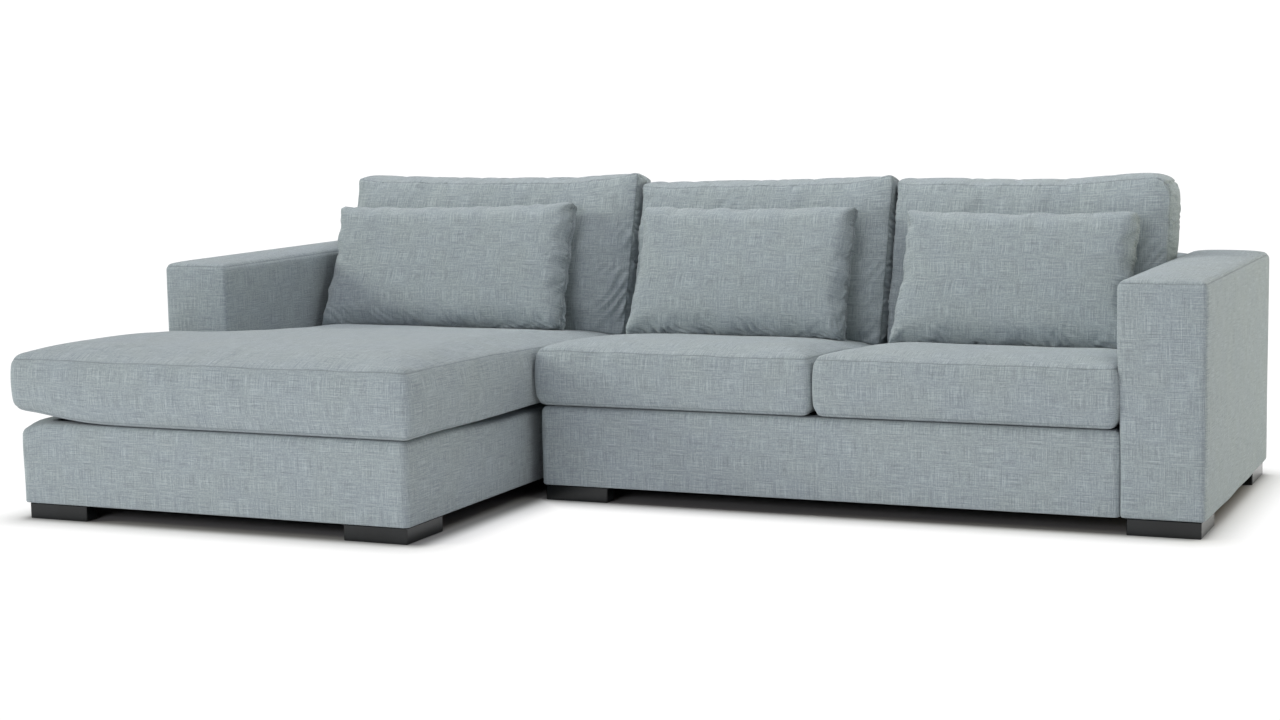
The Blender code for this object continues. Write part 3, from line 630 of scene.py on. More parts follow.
def boxedFaces(lattice, edges, low, high, reach):
    # Which points lie on the top and on the bottom, and the sine of the way in, full at reach
    inward = np.sin(math.pi / 2 * np.clip(edges.distance / reach, 0, 1))
    return lattice.z >= high[2] - tiny, lattice.z <= low[2] + tiny, inward


def wandering(points, normals, lattice, away, size, seed):
    # Along its normal, each point moves by height exp(-(away / band)^2) ripple, so the seams wander
    height, pitch = size["wander"]
    moved = height * bell(away, size["wanderBand"]) * ripple(seed, pitch, lattice.x, lattice.y)
    return points + normals * moved[:, None]


blanks = {}


def blank(name, lattice, points, held, size, seam, **more):
    # A cushion's cloth before it is blown up
    lines = dict(seam=seam, fromX=lattice.x, fromY=lattice.y, fromZ=lattice.z)
    piece = makeMesh(name, points, lattice.quads, lattice.flatMap(), lines)
    cloth = (piece, held, size["pressure"], size["room"], size["bend"])
    blanks[name] = dict(piece=piece, start=points, cloth=cloth, quads=lattice.quads, **more)


def stitched(made, end, size):
    # The blown-up points, with the seams sunk by seamDip exp(-(way to the seam / seamWidth)^2)
    points = capped(made["start"], end, size["cap"])
    sunk = size["seamDip"] * bell(made["toSeam"], size["seamWidth"])
    return points - normalsOf(points, made["quads"]) * sunk[:, None]


def settled(made, points):
    # Moves the cushion's points, divides its faces once, and tells where on the blank each point was
    piece = made["piece"]
    setPoints(piece.data, points)
    subdivide(piece)
    return piece, *(readLine(piece.data, key) for key in ("fromX", "fromY", "fromZ"))


seatCushions = dict(
    fine=0.006,
    coarse=0.014,
    band=0.03,
    corner=0.022,
    topRoll=(0.026, 0.022),  # way in, way down
    bottomRoll=(0.030, 0.034),  # way in, way up
    rise=0.013,  # above the CAD's underside
    liftWidth=0.16,
    liftFade=1.6,  # the power of the share of the height left
    liftWay=(0.0, 0.2, 1.0),
    liftOut=0.3,  # how far a lifted one grows to the left, as a share of its lift
    belly=(0.006, 0.6),  # its height, and its share sunk at the seams
    draw=0.004,  # how far each side is drawn in
    reach=0.15,  # from the sides to the full crown
    wander=(0.0018, 0.16),  # height, wavelength
    wanderBand=0.03,
    lumps=(0.0022, 0.34),  # height, wavelength
    seamDip=0.0012,
    seamWidth=0.006,
    pressure=2.0,
    room=0.004,  # how much roomier the cloth is, as a share
    bend=2.0,
    cap=0.010,  # the most that the cloth may move
    tucks=(0.045, 0.0009, 0.03),  # folds: pitch, depth, length
)
slumps = dict(width=0.12, start=0.12, full=0.6)  # width from the right side, begin and end from the front


def slump(points, low, high, depth):
    # How far the cushion and its base drop along the right side, more towards the rear
    back = smoothStep(low[1] + slumps["start"], low[1] + slumps["full"], points[:, 1])
    return depth * back * bell(np.maximum(high[0] - points[:, 0], 0), slumps["width"])


def seatCushion(name, node, height, crown, pressed, seed, notch=None, lifted=0.0, slumped=0.0):
    # A boxed seat cushion: rolled edges and a crown that rises as the sine of the way in.
    # Lifted rounds off its front left lower corner, up and in by exp(-(way to the corner)^2).
    size = seatCushions
    low, high = boxOf(node)
    low[2] += size["rise"]
    high[2] = low[2] + height
    low[0] -= size["liftOut"] * lifted
    lines = [spaced(size, low[n], high[n]) for n in range(3)]
    cells = None
    if notch:
        for n in range(2):
            parts = [spaced(size, *ends) for ends in ((low[n], notch[n]), (notch[n], high[n]))]
            lines[n] = np.concatenate([parts[0], parts[1][1:]])
        cells = [int(np.argmin(abs(lines[n] - notch[n]))) for n in range(2)]
    lattice = Lattice(*lines, cells)
    points, edges = roundedBlock(lattice, low, high, size, notch)
    points = drawnIn(points, edges, [size["draw"]] * 4, size["reach"])
    onTop, onBottom, inward = boxedFaces(lattice, edges, low, high, size["reach"])
    points[:, 2] += np.where(onTop, crown * inward, 0)
    share = np.clip((lattice.z - low[2]) / height, 0, 1)
    normals = normalsOf(points, lattice.quads)
    belly, sunk = size["belly"]
    points += normals * np.where(~onTop & ~onBottom, belly * (4 * share * (1 - share) - sunk), 0)[:, None]
    lump, pitch = size["lumps"]
    points[:, 2] += np.where(onTop, lump * ripple(seed, pitch, *points.T) * inward, 0)
    seam, upper = seamLine(lattice, edges, low, high)
    points = wandering(points, normals, lattice, upper, size, seed + 7)
    close = bell(np.hypot(lattice.x - low[0], lattice.y - low[1]), size["liftWidth"])
    points += (lifted * close * (1 - share) ** size["liftFade"])[:, None] * np.array(size["liftWay"])
    points[:, 2] -= slump(points, low, high, slumped) * (1 - share)
    held = onBottom | (upper < tiny)
    blank(name, lattice, points, held, size, seam, toSeam=upper, low=low, high=high, pressed=pressed,
          node=node, seed=seed)


def finishSeat(name, end, body):
    # The rear is pressed down by the square of the way back; faint tucks stand along the top seam
    size, made = seatCushions, blanks[name]
    low, high = made["low"], made["high"]
    points = stitched(made, end, size)
    back = np.clip((points[:, 1] - low[1]) / (high[1] - low[1]), 0, 1)
    points[:, 2] = low[2] + np.maximum(points[:, 2] - low[2], 0) * (1 - made["pressed"] * back ** 2)
    piece, x, y, z = settled(made, points)
    side = np.minimum(np.minimum(x - low[0], high[0] - x), np.minimum(y - low[1], high[1] - y))
    away = np.abs(high[2] - z) + side.clip(0)
    raiseBy(piece.data, gathers(made["seed"], x + y, away, *size["tucks"]))
    return dress(piece, cushionLinen, "cushion_cloth", body, made["node"])


armLow, armHigh = boxOf("left_arm_cover")
armClearance = 0.003
notch = (armHigh[0] + armClearance, armLow[1] - armClearance)
seatCushion("chaiseSeatCushion", "chaise_seat_cushion", height=0.172, crown=0.020, pressed=0.38, seed=21,
            notch=notch, lifted=0.028, slumped=0.018)
seatCushion("leftSeatCushion", "left_seat_cushion", height=0.154, crown=0.010, pressed=0.34, seed=22)
seatCushion("rightSeatCushion", "right_seat_cushion", height=0.154, crown=0.008, pressed=0.39, seed=23)


backCushions = dict(
    height=0.448,
    thickness=0.175,
    crown=0.030,
    startCrown=0.017,  # before the cloth is blown up
    fine=0.005,
    coarse=0.0095,
    band=0.02,
    # Wider than the CAD's at the left and right
    spreads=dict(chaise=(-0.006, 0.004), left=(0.004, 0.0), right=(0.0, 0.005)),
    corner=0.022,
    topRoll=(0.009, 0.010),  # the front's: way in, way down
    bottomRoll=(0.018, 0.018),  # the rear's
    reach=0.130,
    draws=(0.0, 0.0, 0.0, 0.012),  # how far drawn in: left, right, foot, top
    bulge=0.0042,  # the side walls'
    wander=(0.002, 0.13),  # height, wavelength
    wanderBand=0.03,
    lumps=(0.003, 0.25),  # height, wavelength
    seamDip=0.0026,
    seamWidth=0.005,
    pressure=2.5,
    room=0.010,
    bend=0.5,
    cap=0.022,
    # At the left and right ends: how far the upper edge rises, and how wide
    ears=dict(
        chaise=((-0.003, 0.16), (0.017, 0.10)),
        left=((-0.017, 0.22), (0.013, 0.09)),
        right=((-0.006, 0.15), (0.014, 0.20)),
    ),
    upperPart=(0.75, 1.0),
    # At the left and right corners: how far they are pulled out, and how wide
    points=dict(
        chaise=((0.007, 0.022), (0.002, 0.03)),
        left=((0.007, 0.022), (0.002, 0.03)),
        right=((0.007, 0.022), (-0.014, 0.035)),
    ),
    # At the right end: the upper edge's fall to the rear, the side's way in there, and how wide
    tapers=dict(chaise=(0.030, 0.012, 0.075), left=(0.028, 0.012, 0.075), right=(0.004, 0.0, 0.075)),
    # Folds: pitch, depth, length, slant, sharp
    ruches=(0.018, 0.0052, 0.14, 0.2, True),
    nips=(0.027, 0.0018, 0.022, 0.0, True),
    creases=(0.040, 0.0072, 0.045, 1.1),
    foot=(0.070, 0.0030, 0.06, 0.5),
    ruchesSunk=0.6,  # share of their depth
    creased=dict(chaise=1.5, left=0.7, right=0.5),  # times the creases' depth
    creaseStart=0.012,  # from the right end
    creasePart=(0.45, 0.8),  # shares of the height where creases start to fade and are gone
    slope=math.tan(math.radians(15.0)),  # the back's lean
)


def backCushion(name, place, seed):
    # Made lying on its back: a boxed cushion whose seams wander, its side walls bulging as a sine. Each
    # upper corner has an ear, the edge's rise by exp(-(way from the end / wide)^2), and is pulled to a point.
    size, node = backCushions, f"{place}_back_cushion"
    boxLow, boxHigh = boxOf(node)
    width = boxHigh[0] - boxLow[0]
    spread = size["spreads"][place]
    low = np.array([-width / 2 - spread[0], 0.0, 0.0])
    high = np.array([width / 2 + spread[1], size["height"], size["thickness"] - size["crown"]])
    lattice = Lattice(*(spaced(size, low[n], high[n]) for n in range(3)))
    points, edges = roundedBlock(lattice, low, high, size)
    points = drawnIn(points, edges, size["draws"], size["reach"])
    onFront, onRear, inward = boxedFaces(lattice, edges, low, high, size["reach"])
    points[:, 2] += np.where(onFront, size["startCrown"] * inward, 0)
    lump, pitch = size["lumps"]
    points[:, 2] += np.where(onFront, lump * ripple(seed, pitch, *points[:, :2].T) * inward, 0)
    normals = normalsOf(points, lattice.quads)
    seam, upper = seamLine(lattice, edges, low, high)
    points = wandering(points, normals, lattice, seam, size, seed + 5)
    share = np.clip(lattice.z / high[2], 0, 1)
    points += normals * np.where(onFront | onRear, 0, size["bulge"] * np.sin(math.pi * share))[:, None]
    nearTop = smoothStep(*size["upperPart"], lattice.y / high[1])
    for (ear, wide), off in zip(size["ears"][place], (lattice.x - low[0], high[0] - lattice.x)):
        points[:, 1] += ear * nearTop * bell(off, wide)
    fall, inwards, wide = size["tapers"][place]
    close = bell(lattice.x - high[0], wide) * (1 - share) * nearTop
    points[:, 1] -= fall * close
    points[:, 0] -= inwards * close
    for (move, wide), end, way in zip(size["points"][place], (low[0], high[0]), (-1, 1)):
        close = bell(np.hypot(lattice.x - end, high[1] - lattice.y), wide)
        points[:, 0] += way * move * close
        points[:, 1] += move * close
    held = onRear | (upper < tiny) | (lattice.y <= low[1] + tiny)
    blank(name, lattice, points, held, size, seam, toSeam=seam, box=(boxLow, boxHigh), node=node, seed=seed,
          creased=size["creased"][place], low=low, high=high)


def finishBack(name, end, body, neighbours):
    # Stood up and sheared back to lean as the back does, its bottom level. Then the folds: ruches across
    # the side walls, nips along the face's seams, slanting creases at the right and soft folds at the foot.
    size, made = backCushions, blanks[name]
    boxLow, boxHigh = made["box"]
    points = stitched(made, end, size)
    rear = boxHigh[1] - size["slope"] * size["height"]
    world = np.stack([
        (boxLow[0] + boxHigh[0]) / 2 + points[:, 0],
        rear + size["slope"] * points[:, 1] - points[:, 2],
        boxLow[2] + points[:, 1],
    ], 1)
    piece, x, y, z = settled(made, world)
    low, high, seed = made["low"], made["high"], made["seed"] * 10
    onFace = z >= high[2] - small
    left, right, top, down = x - low[0], high[0] - x, high[1] - y, high[2] - z
    side = np.minimum(left, right)
    ruches = gathers(seed, y, down, *size["ruches"]) - size["ruchesSunk"] * size["ruches"][1]
    heights = np.where(~onFace & (side < small), ruches, 0)
    lower = 1 - smoothStep(*size["creasePart"], y / high[1])
    begun = 1 - np.exp(-right / size["creaseStart"])
    faceFolds = (
        gathers(seed + 2, y, side, *size["nips"]),
        gathers(seed + 4, x, top, *size["nips"]),
        made["creased"] * lower * begun * gathers(seed + 6, y, right, *size["creases"]),
        gathers(seed + 8, x, y, *size["foot"]),
    )
    for fold in faceFolds:
        heights += np.where(onFace, fold, 0)
    raiseBy(piece.data, heights)
    keepOut(piece, neighbours)
    return dress(piece, cushionLinen, "cushion_cloth", body, made["node"])


for seed, place in enumerate(places):
    backCushion(f"{place}BackCushion", place, 31 + seed)


pillows = dict(
    height=0.375,
    thickness=0.132,
    power=2.5,  # of the rounded edge's curve
    reach=0.025,  # the rounded edge's way in
    dome=(0.22, 0.6, 0.8),  # how much, and the powers of its sines across and up
    fullest=0.40,  # share of the height
    fine=0.0055,
    coarse=0.0075,
    band=0.05,
    seamHalf=0.0018,  # half the seam's thickness
    draws=(0.006, 0.006, 0.002, 0.006),  # how far drawn in: left, right, foot, top
    drawReach=0.15,
    lumps=(0.02, 0.2),  # share of the thickness, wavelength
    wander=(0.0015, 0.09, 0.12),  # width, wavelengths up and across
    flare=(0.016, 0.2, 0.6),  # the left side's way out, its width, and the share of the height it ends at
    # Moved across and up, and tilted, in degrees
    places=dict(chaise=(-0.002, -0.003, 1.2), left=(-0.008, -0.008, 0.5), right=(0.001, -0.015, 0.0)),
    # The upper right corner's way in and down, then the lower left one's way in and up, and how wide
    tucks=dict(
        chaise=(0.004, 0.002, 0.004, 0.004),
        left=(0.006, 0.006, 0.008, 0.010),
        right=(0.010, 0.008, 0.008, 0.012),
    ),
    tuckWidth=0.032,
    pressure=1.5,
    room=0.012,
    bend=0.3,
    cap=0.014,
    # Folds: pitch, depth, length, slant, sharp. Still is the strip at the seam that stays flat.
    ruches=(0.013, 0.0085, 0.018, 0.3, True),
    pulls=(0.042, 0.0030, 0.045, 0.5),
    nips=(0.026, 0.0020, 0.014, 0.0, True),
    foot=(0.031, 0.0115, 0.050, 0.9, True),
    still=0.007,
    lean=math.radians(20.0),
)


def turned(a, b, angle):
    # (a cos - b sin, a sin + b cos)
    return a * math.cos(angle) - b * math.sin(angle), a * math.sin(angle) + b * math.cos(angle)


def pillow(name, place, seed):
    # Two faces sewn along one seam: each rolls up and in from it along a rounded edge, then domes a little.
    # The seam is drawn in between the corners, and two corners are tucked.
    size, node = pillows, f"{place}_pillow"
    boxLow, boxHigh = boxOf(node)
    width, height = boxHigh[0] - boxLow[0], size["height"]
    half = size["thickness"] / 2 - size["seamHalf"]
    length, inward, upward = rolled(size["reach"], half, size["power"])
    spare = length[-1] - size["reach"]
    low = np.array([-width / 2 - spare, -spare, -size["seamHalf"]])
    high = np.array([width / 2 + spare, height + spare, size["seamHalf"]])
    lines = [spaced(size, low[n], high[n]) for n in range(2)]
    lattice = Lattice(*lines, np.array([low[2], high[2]]))
    edges = Edges(lattice, low, high)
    ins, ups = [], []
    for to in (edges.toSides[:2].min(0), edges.toSides[2:].min(0)):
        ins.append(np.interp(to, length, inward) + np.maximum(to - length[-1], 0))
        ups.append(np.interp(to, length, upward))
    x = np.where(lattice.x < 0, ins[0] - width / 2, width / 2 - ins[0])
    y = np.where(lattice.y < height / 2, ins[1], height - ins[1])
    tx, ty = x / width + 0.5, y / height
    lower = np.clip(ty, 0, 1) ** (math.log(0.5) / math.log(size["fullest"]))
    dome, acrossPower, upPower = size["dome"]
    sines = np.sin(math.pi * np.clip(tx, 0, 1)) ** acrossPower, np.sin(math.pi * lower) ** upPower
    domed = 1 - dome + dome * sines[0] * sines[1]
    lump, pitch = size["lumps"]
    rise = half * ups[0] * ups[1] * domed * (1 + lump * ripple(seed, pitch, x, y))
    points = np.stack([x, y, np.where(lattice.z > 0, 1.0, -1.0) * (size["seamHalf"] + rise)], 1)
    points = drawnIn(points, edges, size["draws"], size["drawReach"])
    wander, pitchUp, pitchAcross = size["wander"]
    strays = ripple(seed + 3, pitchUp, lattice.y), ripple(seed + 4, pitchAcross, lattice.x)
    points[:, :2] += wander * np.stack(strays, 1)
    flare, wide, ended = size["flare"]
    points[:, 0] -= flare * bell(edges.toSides[0], wide) * (1 - smoothStep(0, ended, ty)) * (ty < ended)
    tucks = size["tucks"][place]
    for (toX, toY), way, moveX, moveY in (((1, 3), -1, *tucks[:2]), ((0, 2), 1, *tucks[2:])):
        close = bell(np.hypot(edges.toSides[toX], edges.toSides[toY]), size["tuckWidth"])
        points[:, 0] += way * moveX * close
        points[:, 1] += way * moveY * close
    blank(name, lattice, points, edges.distance < tiny, size, edges.distance, box=(boxLow, boxHigh),
          node=node, seed=seed, low=low, high=high, moved=size["places"][place])


def finishPillow(name, end, body, neighbours):
    # Brought to its thickness, leaned back and set in its place. Then the folds: ruches and longer pulls
    # across the side seams, nips along the top and bottom ones, and slanting folds above the foot.
    size, made = pillows, blanks[name]
    boxLow, boxHigh = made["box"]
    x, y, z = capped(made["start"], end, size["cap"]).T
    across, up, tilt = made["moved"]
    z = z * (size["thickness"] / (z.max() - z.min()))
    x, y = turned(x, y, math.radians(tilt))
    leaned = np.stack([x, *turned(y, z, math.pi / 2 - size["lean"])], 1)
    leaned += ((boxLow + boxHigh) - (leaned.min(0) + leaned.max(0))) / 2
    leaned += np.array([across, 0, up])
    piece, x, y, z = settled(made, leaned)
    low, high, seed = made["low"], made["high"], made["seed"] * 10
    face = np.where(z > 0, 0.0, 5.0)  # sets the two faces' folds apart
    side, foot = np.minimum(x - low[0], high[0] - x), y - low[1]
    edge = np.minimum(high[1] - y, foot)
    heights = gathers(seed, y + face, side, *size["ruches"])
    heights += gathers(seed + 2, y + face, side, *size["pulls"])
    heights *= 1 - np.exp(-side / size["still"])
    edgeFolds = gathers(seed + 4, x + face, edge, *size["nips"])
    edgeFolds += gathers(seed + 6, x + face, foot, *size["foot"])
    heights += edgeFolds * (1 - np.exp(-edge / size["still"]))
    raiseBy(piece.data, heights)
    keepOut(piece, neighbours)
    return dress(piece, pillowLinen, "pillow_cloth", body, made["node"])


for seed, place in enumerate(places):
    pillow(f"{place}Pillow", place, 41 + seed)

print("sofa: cushions cut out")
cloths = [made["cloth"] for made in blanks.values()]
ends = bubble(cloths)
ends = dict(zip(blanks, ends))
print("sofa: cushions blown up")
backs = []
for place in places:
    seatName, backName, pillowName = (f"{place}{kind}" for kind in ("SeatCushion", "BackCushion", "Pillow"))
    seat = finishSeat(seatName, ends[seatName], f"{place}_seat")
    backs.append(finishBack(backName, ends[backName], f"{place}_back", [seat, *backs[-1:]]))
    finishPillow(pillowName, ends[pillowName], f"{place}_loose_pillow", [seat, backs[-1]])


hoods = dict(
    fine=0.004,
    coarse=0.024,
    band=0.06,
    corner=0.012,  # radius in plan
    topRoll=(0.012, 0.011),
    bottomRoll=(0.006, 0.006),
    crown=0.015,  # swelling of the top
    reach=0.04,  # way in of the swelling
    pad=0.0035,  # swelling of the other faces
    uneven=(0.5, 0.3),  # share of the pad, wavelength
    bulgePart=(0.2, 0.8),  # shares of the height where a bulge starts and is full
    seamDip=0.0016,
    seamWidth=0.0045,
    slope=math.tan(math.radians(15.0)),  # a leaning one's front
)


def hood(name, node, seed, leaning=False, bulge=0.0, wider=(0.0, 0.0, 0.0)):
    # An upholstered block: a padded top and faces that swell as 1 - exp(-way from the edge / reach), seams
    # along its upper and upright edges. A leaning one is thicker below, its front sloping. Bulge pushes the
    # upper part of the left face out.
    size = hoods
    low, high = boxOf(node)
    rise = high[2] - low[2]
    if leaning:
        low[1] += size["slope"] * rise
    low[0] -= wider[0]
    high[:2] += wider[1:]
    lattice = Lattice(*(spaced(size, low[n], high[n]) for n in range(3)))
    points, edges = roundedBlock(lattice, low, high, size)
    dx, dy = edges.toSides[:2].min(0), edges.toSides[2:].min(0)
    dz = high[2] - lattice.z
    edge = np.sort(np.stack([dx, dy, dz]), 0)[1]
    onTop, onBottom = dz < tiny, lattice.z <= low[2] + tiny
    seam = np.where(onBottom, noSeam, np.maximum(np.minimum(dx, dy), dz))
    normals = normalsOf(points, lattice.quads)
    swell = 1 - np.exp(-edge / size["reach"])
    share, pitch = size["uneven"]
    uneven = 1 + share * ripple(seed, pitch, *points.T)
    points += normals * (np.where(onTop, size["crown"], 0) * swell)[:, None]
    points += normals * (np.where(onTop | onBottom, 0, size["pad"]) * swell * uneven)[:, None]
    points -= normals * (size["seamDip"] * bell(seam, size["seamWidth"]))[:, None]
    across = (high[0] - points[:, 0]) / (high[0] - low[0])
    upper = smoothStep(*size["bulgePart"], (points[:, 2] - low[2]) / rise)
    points[:, 0] -= bulge * np.clip(across, 0, 1) * upper
    if leaning:
        share = (high[1] - points[:, 1]) / (high[1] - low[1])
        points[:, 1] -= share * size["slope"] * (high[2] - points[:, 2])
    piece = makeMesh(name, points, lattice.quads, lattice.flatMap(), {"seam": seam})
    subdivide(piece)
    return dress(piece, coverLinen, "cover_cloth", "frame", node)


hood("leftArm", "left_arm_cover", 51, wider=(0.004, 0.0, 0.0))
hood("rightArm", "right_arm_cover", 52, bulge=0.010, wider=(0.0, 0.004, 0.004))
hood("chaiseBack", "chaise_back_cover", 53, leaning=True)
hood("seatUnitBack", "seat_unit_back_cover", 54, leaning=True)


bases = dict(
    corner=0.017,
    cornerLeast=0.003,  # the radius left inside
    topRoll=0.017,
    wall=0.009,  # the side walls' thickness
    border=0.060,  # its width
    skin=0.0028,  # the border's thickness
    lip=(0.0035, 0.0015),  # the border's underside turns down this far in and below the skin
    lipDrops=(0.006, 0.009),  # from the skin to the lip's foot and to the wall's top
    bottomRoll=0.004,
    rise=0.0125,  # above the CAD's top
    dropWidth=0.045,  # of the drop at the front left corner
    pad=0.0015,  # swelling of the outer faces
    uneven=(0.6, 0.35),  # share of the pad, wavelength
    fine=0.004,
    coarse=0.022,
    band=0.05,
    alongEase=1.5,  # how much coarser along the sides
    cornerSteps=6,
    rollSteps=6,
    seamAt=0.496,  # how far to the right
    seamDepth=0.1,  # behind the front, as far as the seam goes
    seamTop=0.004,  # below the top, where its dip ends
    seamDip=0.0012,
    seamWidth=0.004,
)


def gridQuads(nx, ny, closed=False):
    # The faces between a grid's points, point (i, j) being number i ny + j. A closed grid joins up both ways.
    i, j = np.indices((nx, ny) if closed else (nx - 1, ny - 1))
    nextI, nextJ = (i + 1) % nx, (j + 1) % ny
    return np.stack([i * ny + j, nextI * ny + j, nextI * ny + nextJ, i * ny + nextJ], -1).reshape(-1, 4)


def baseProfile(low, high):
    # The cover's cut edge as (inset, height): bottom edge, outer face, top roll, border, back inside
    size = bases
    roll, skin, wall, hem = size["topRoll"], size["skin"], size["wall"], size["bottomRoll"]
    (lipIn, lipDown), (lipFoot, wallTop) = size["lip"], size["lipDrops"]
    quarter = np.linspace(0, math.pi / 2, size["rollSteps"] + 1)
    rise = spaced(size, low + hem, high - roll)
    run = spaced(size, roll, size["border"])
    parts = [
        (np.array([wall]), np.array([low])),
        (hem * (1 - np.sin(quarter)), low + hem * (1 - np.cos(quarter))),
        (0 * rise[1:-1], rise[1:-1]),
        (roll * (1 - np.cos(quarter)), high - roll + roll * np.sin(quarter)),
        (run[1:], np.full(len(run) - 1, high)),
        (run[::-1], np.full(len(run), high - skin)),
        (np.array([wall + lipIn, wall]), high - skin - np.array([lipDown, lipFoot])),
        (np.full(len(rise) - 2, wall), np.minimum(rise[1:-1][::-1], high - skin - wallTop)),
    ]
    return (np.concatenate(line) for line in zip(*parts))


def basePlan(low, high):
    # Once round a rectangle with rounded corners: the middle that each point's normal starts from, the
    # normal, the way in past the corner's radius, which turns evenly from one diagonal to the next, and
    # the length so far. Also the whole length.
    size = bases
    radius = size["corner"]
    turns = np.linspace(0, math.pi / 2, size["cornerSteps"] + 1)
    corners = np.array([(0, 0), (1, 0), (1, 1), (0, 1)])
    middles = np.where(corners, high[:2] - radius, low[:2] + radius)
    diagonals = 1.0 - 2 * corners
    rows, travelled = [], 0.0
    for n in range(4):
        turn = math.pi + n * math.pi / 2 + turns
        arc = np.stack([np.cos(turn), np.sin(turn)], 1)
        middle, diagonal = middles[n], diagonals[n]
        lengths = travelled + radius * turns[:, None]
        rows.append(np.hstack([middle + 0 * arc, arc, diagonal + 0 * arc, lengths]))
        travelled += radius * math.pi / 2
        onward, change = (line[(n + 1) % 4] - line[n] for line in (middles, diagonals))
        span = np.linalg.norm(onward)
        steps = spaced(size, 0, span, size["alongEase"])[1:-1, None]
        share = steps / span
        sides = middle + onward * share, arc[-1] + 0 * share, diagonal + change * share, travelled + steps
        rows.append(np.hstack(sides))
        travelled += span
    return np.split(np.concatenate(rows), (2, 4, 6), 1), travelled


def baseCover(name, node, seed, seamAt=None, wider=0.0, slumped=0.0, dropped=0.0):
    # The profile carried round the base's plan: middle + normal (radius - inset) within the corner's radius,
    # then along the diagonal. It is padded up by rise, so that the cushions sink into it a little.
    size = bases
    low, high = boxOf(node)
    high[2] += size["rise"]
    low[0] -= wider
    radius = size["corner"]
    (centre, normal, diagonal, length), travelled = basePlan(low, high)
    inset, height = baseProfile(low[2], high[2])
    tight = np.minimum(inset, radius - size["cornerLeast"])[None, :, None]
    beyond = inset[None, :, None] - tight
    plan = centre[:, None] + normal[:, None] * (radius - tight) + diagonal[:, None] * beyond
    points = np.concatenate([plan, np.broadcast_to(height[None, :, None], (*plan.shape[:2], 1))], 2)
    share = np.clip((height - low[2]) / (high[2] - low[2]), 0, 1)
    swell = size["pad"] * 4 * share * (1 - share) * (inset < small)
    part, pitch = size["uneven"]
    uneven = 1 + part * ripple(seed, pitch, length + 0 * height, height + 0 * length)
    points[..., :2] += normal[:, None] * (swell * uneven)[..., None]
    seam = np.full(points.shape[:2], noSeam)
    if seamAt is not None:
        inFront = points[..., 1] < low[1] + size["seamDepth"]
        seam = np.where(inFront, abs(points[..., 0] - seamAt), noSeam)
        dip = size["seamDip"] * bell(seam, size["seamWidth"]) * (height < high[2] - size["seamTop"])
        points[..., :2] -= normal[:, None] * dip[..., None]
    upper = np.clip((points[..., 2] - low[2]) / (high[2] - low[2]), 0, 1)
    drop = slump(points.reshape(-1, 3), low, high, slumped).reshape(upper.shape)
    near = bell(np.hypot(points[..., 0] - low[0], points[..., 1] - low[1]), size["dropWidth"])
    points[..., 2] -= (drop + dropped * near) * upper ** 2
    count, around = points.shape[:2]
    i, j = np.indices((count, around))
    steps = np.hypot(np.diff(inset, append=inset[0]), np.diff(height, append=height[0]))
    along, upward = np.append(length, travelled), np.concatenate([[0], np.cumsum(steps)])
    corners = ((0, 0), (1, 0), (1, 1), (0, 1))
    flat = np.stack([np.stack([along[i + a], upward[j + b]], -1) for a, b in corners], 2).reshape(-1, 4, 2)
    quads = gridQuads(count, around, closed=True)
    piece = makeMesh(name, points.reshape(-1, 3), quads, flat, {"seam": seam.reshape(-1)})
    return dress(piece, coverLinen, "cover_cloth", "frame", node)


baseCover("chaiseBase", "chaise_base_cover", 61, wider=0.012, slumped=0.018, dropped=0.016)
baseCover("seatUnitBase", "seat_unit_base_cover", 62, bases["seamAt"], wider=0.006)


sheets = dict(
    step=0.03,
    hem=0.0012,  # thickness
    deckSag=0.0012,
    dustSag=0.004,
    deckEdge=0.0615,  # in from the base cover's box
    deckSunk=0.0005,  # below its top
    waves=(0.3, 0.3),  # share of the sag, wavelength
)


def stretchedSheet(name, node, low, high, sag, seed):
    # A cloth stretched flat between its edges, sagging as the root of the sines of the ways across, with
    # slight waves
    size = sheets
    xs, ys = (np.linspace(low[n], high[n], int((high[n] - low[n]) / size["step"]) + 1) for n in range(2))
    x, y = np.meshgrid(xs, ys, indexing="ij")
    sines = [np.sin(math.pi * (line - low[n]) / (high[n] - low[n])) for n, line in enumerate((x, y))]
    wave, pitch = size["waves"]
    z = low[2] - sag * (sines[0] * sines[1]) ** 0.5 * (1 + wave * ripple(seed, pitch, x, y))
    points, quads = np.stack([x, y, z], -1).reshape(-1, 3), gridQuads(*x.shape)
    piece = makeMesh(name, points, quads, points[quads][..., :2])
    wall = piece.modifiers.new("wall", "SOLIDIFY")
    wall.thickness, wall.offset = size["hem"], -1
    applyModifiers(piece)
    return dress(piece, lining, "lining_cloth", "frame", node)


for seed, unit in enumerate(("chaise", "seat_unit")):
    low, high = boxOf(f"{unit}_base_cover")
    edge = sheets["deckEdge"]
    top = high[2] - sheets["deckSunk"]
    stretchedSheet(f"{unit}Deck", f"{unit}_deck_cloth", (low[0] + edge, low[1] + edge, top),
                   (high[0] - edge, high[1] - edge), sheets["deckSag"], 71 + seed)
    low, high = boxOf(f"{unit}_dust_cover")
    stretchedSheet(f"{unit}Dust", f"{unit}_dust_cover", (low[0], low[1], high[2]),
                   (high[0], high[1]), sheets["dustSag"], 73 + seed)


for node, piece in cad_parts.items():
    if piece.hide_render:
        continue
    if "screw" in node or node.startswith("unit_"):
        finish = zincSteel
    elif "foot" in node:
        finish = lacquer
    elif "spring" in node:
        finish = springSteel
    else:
        finish = pine
    piece.data.materials.clear()
    piece.data.materials.append(finish)


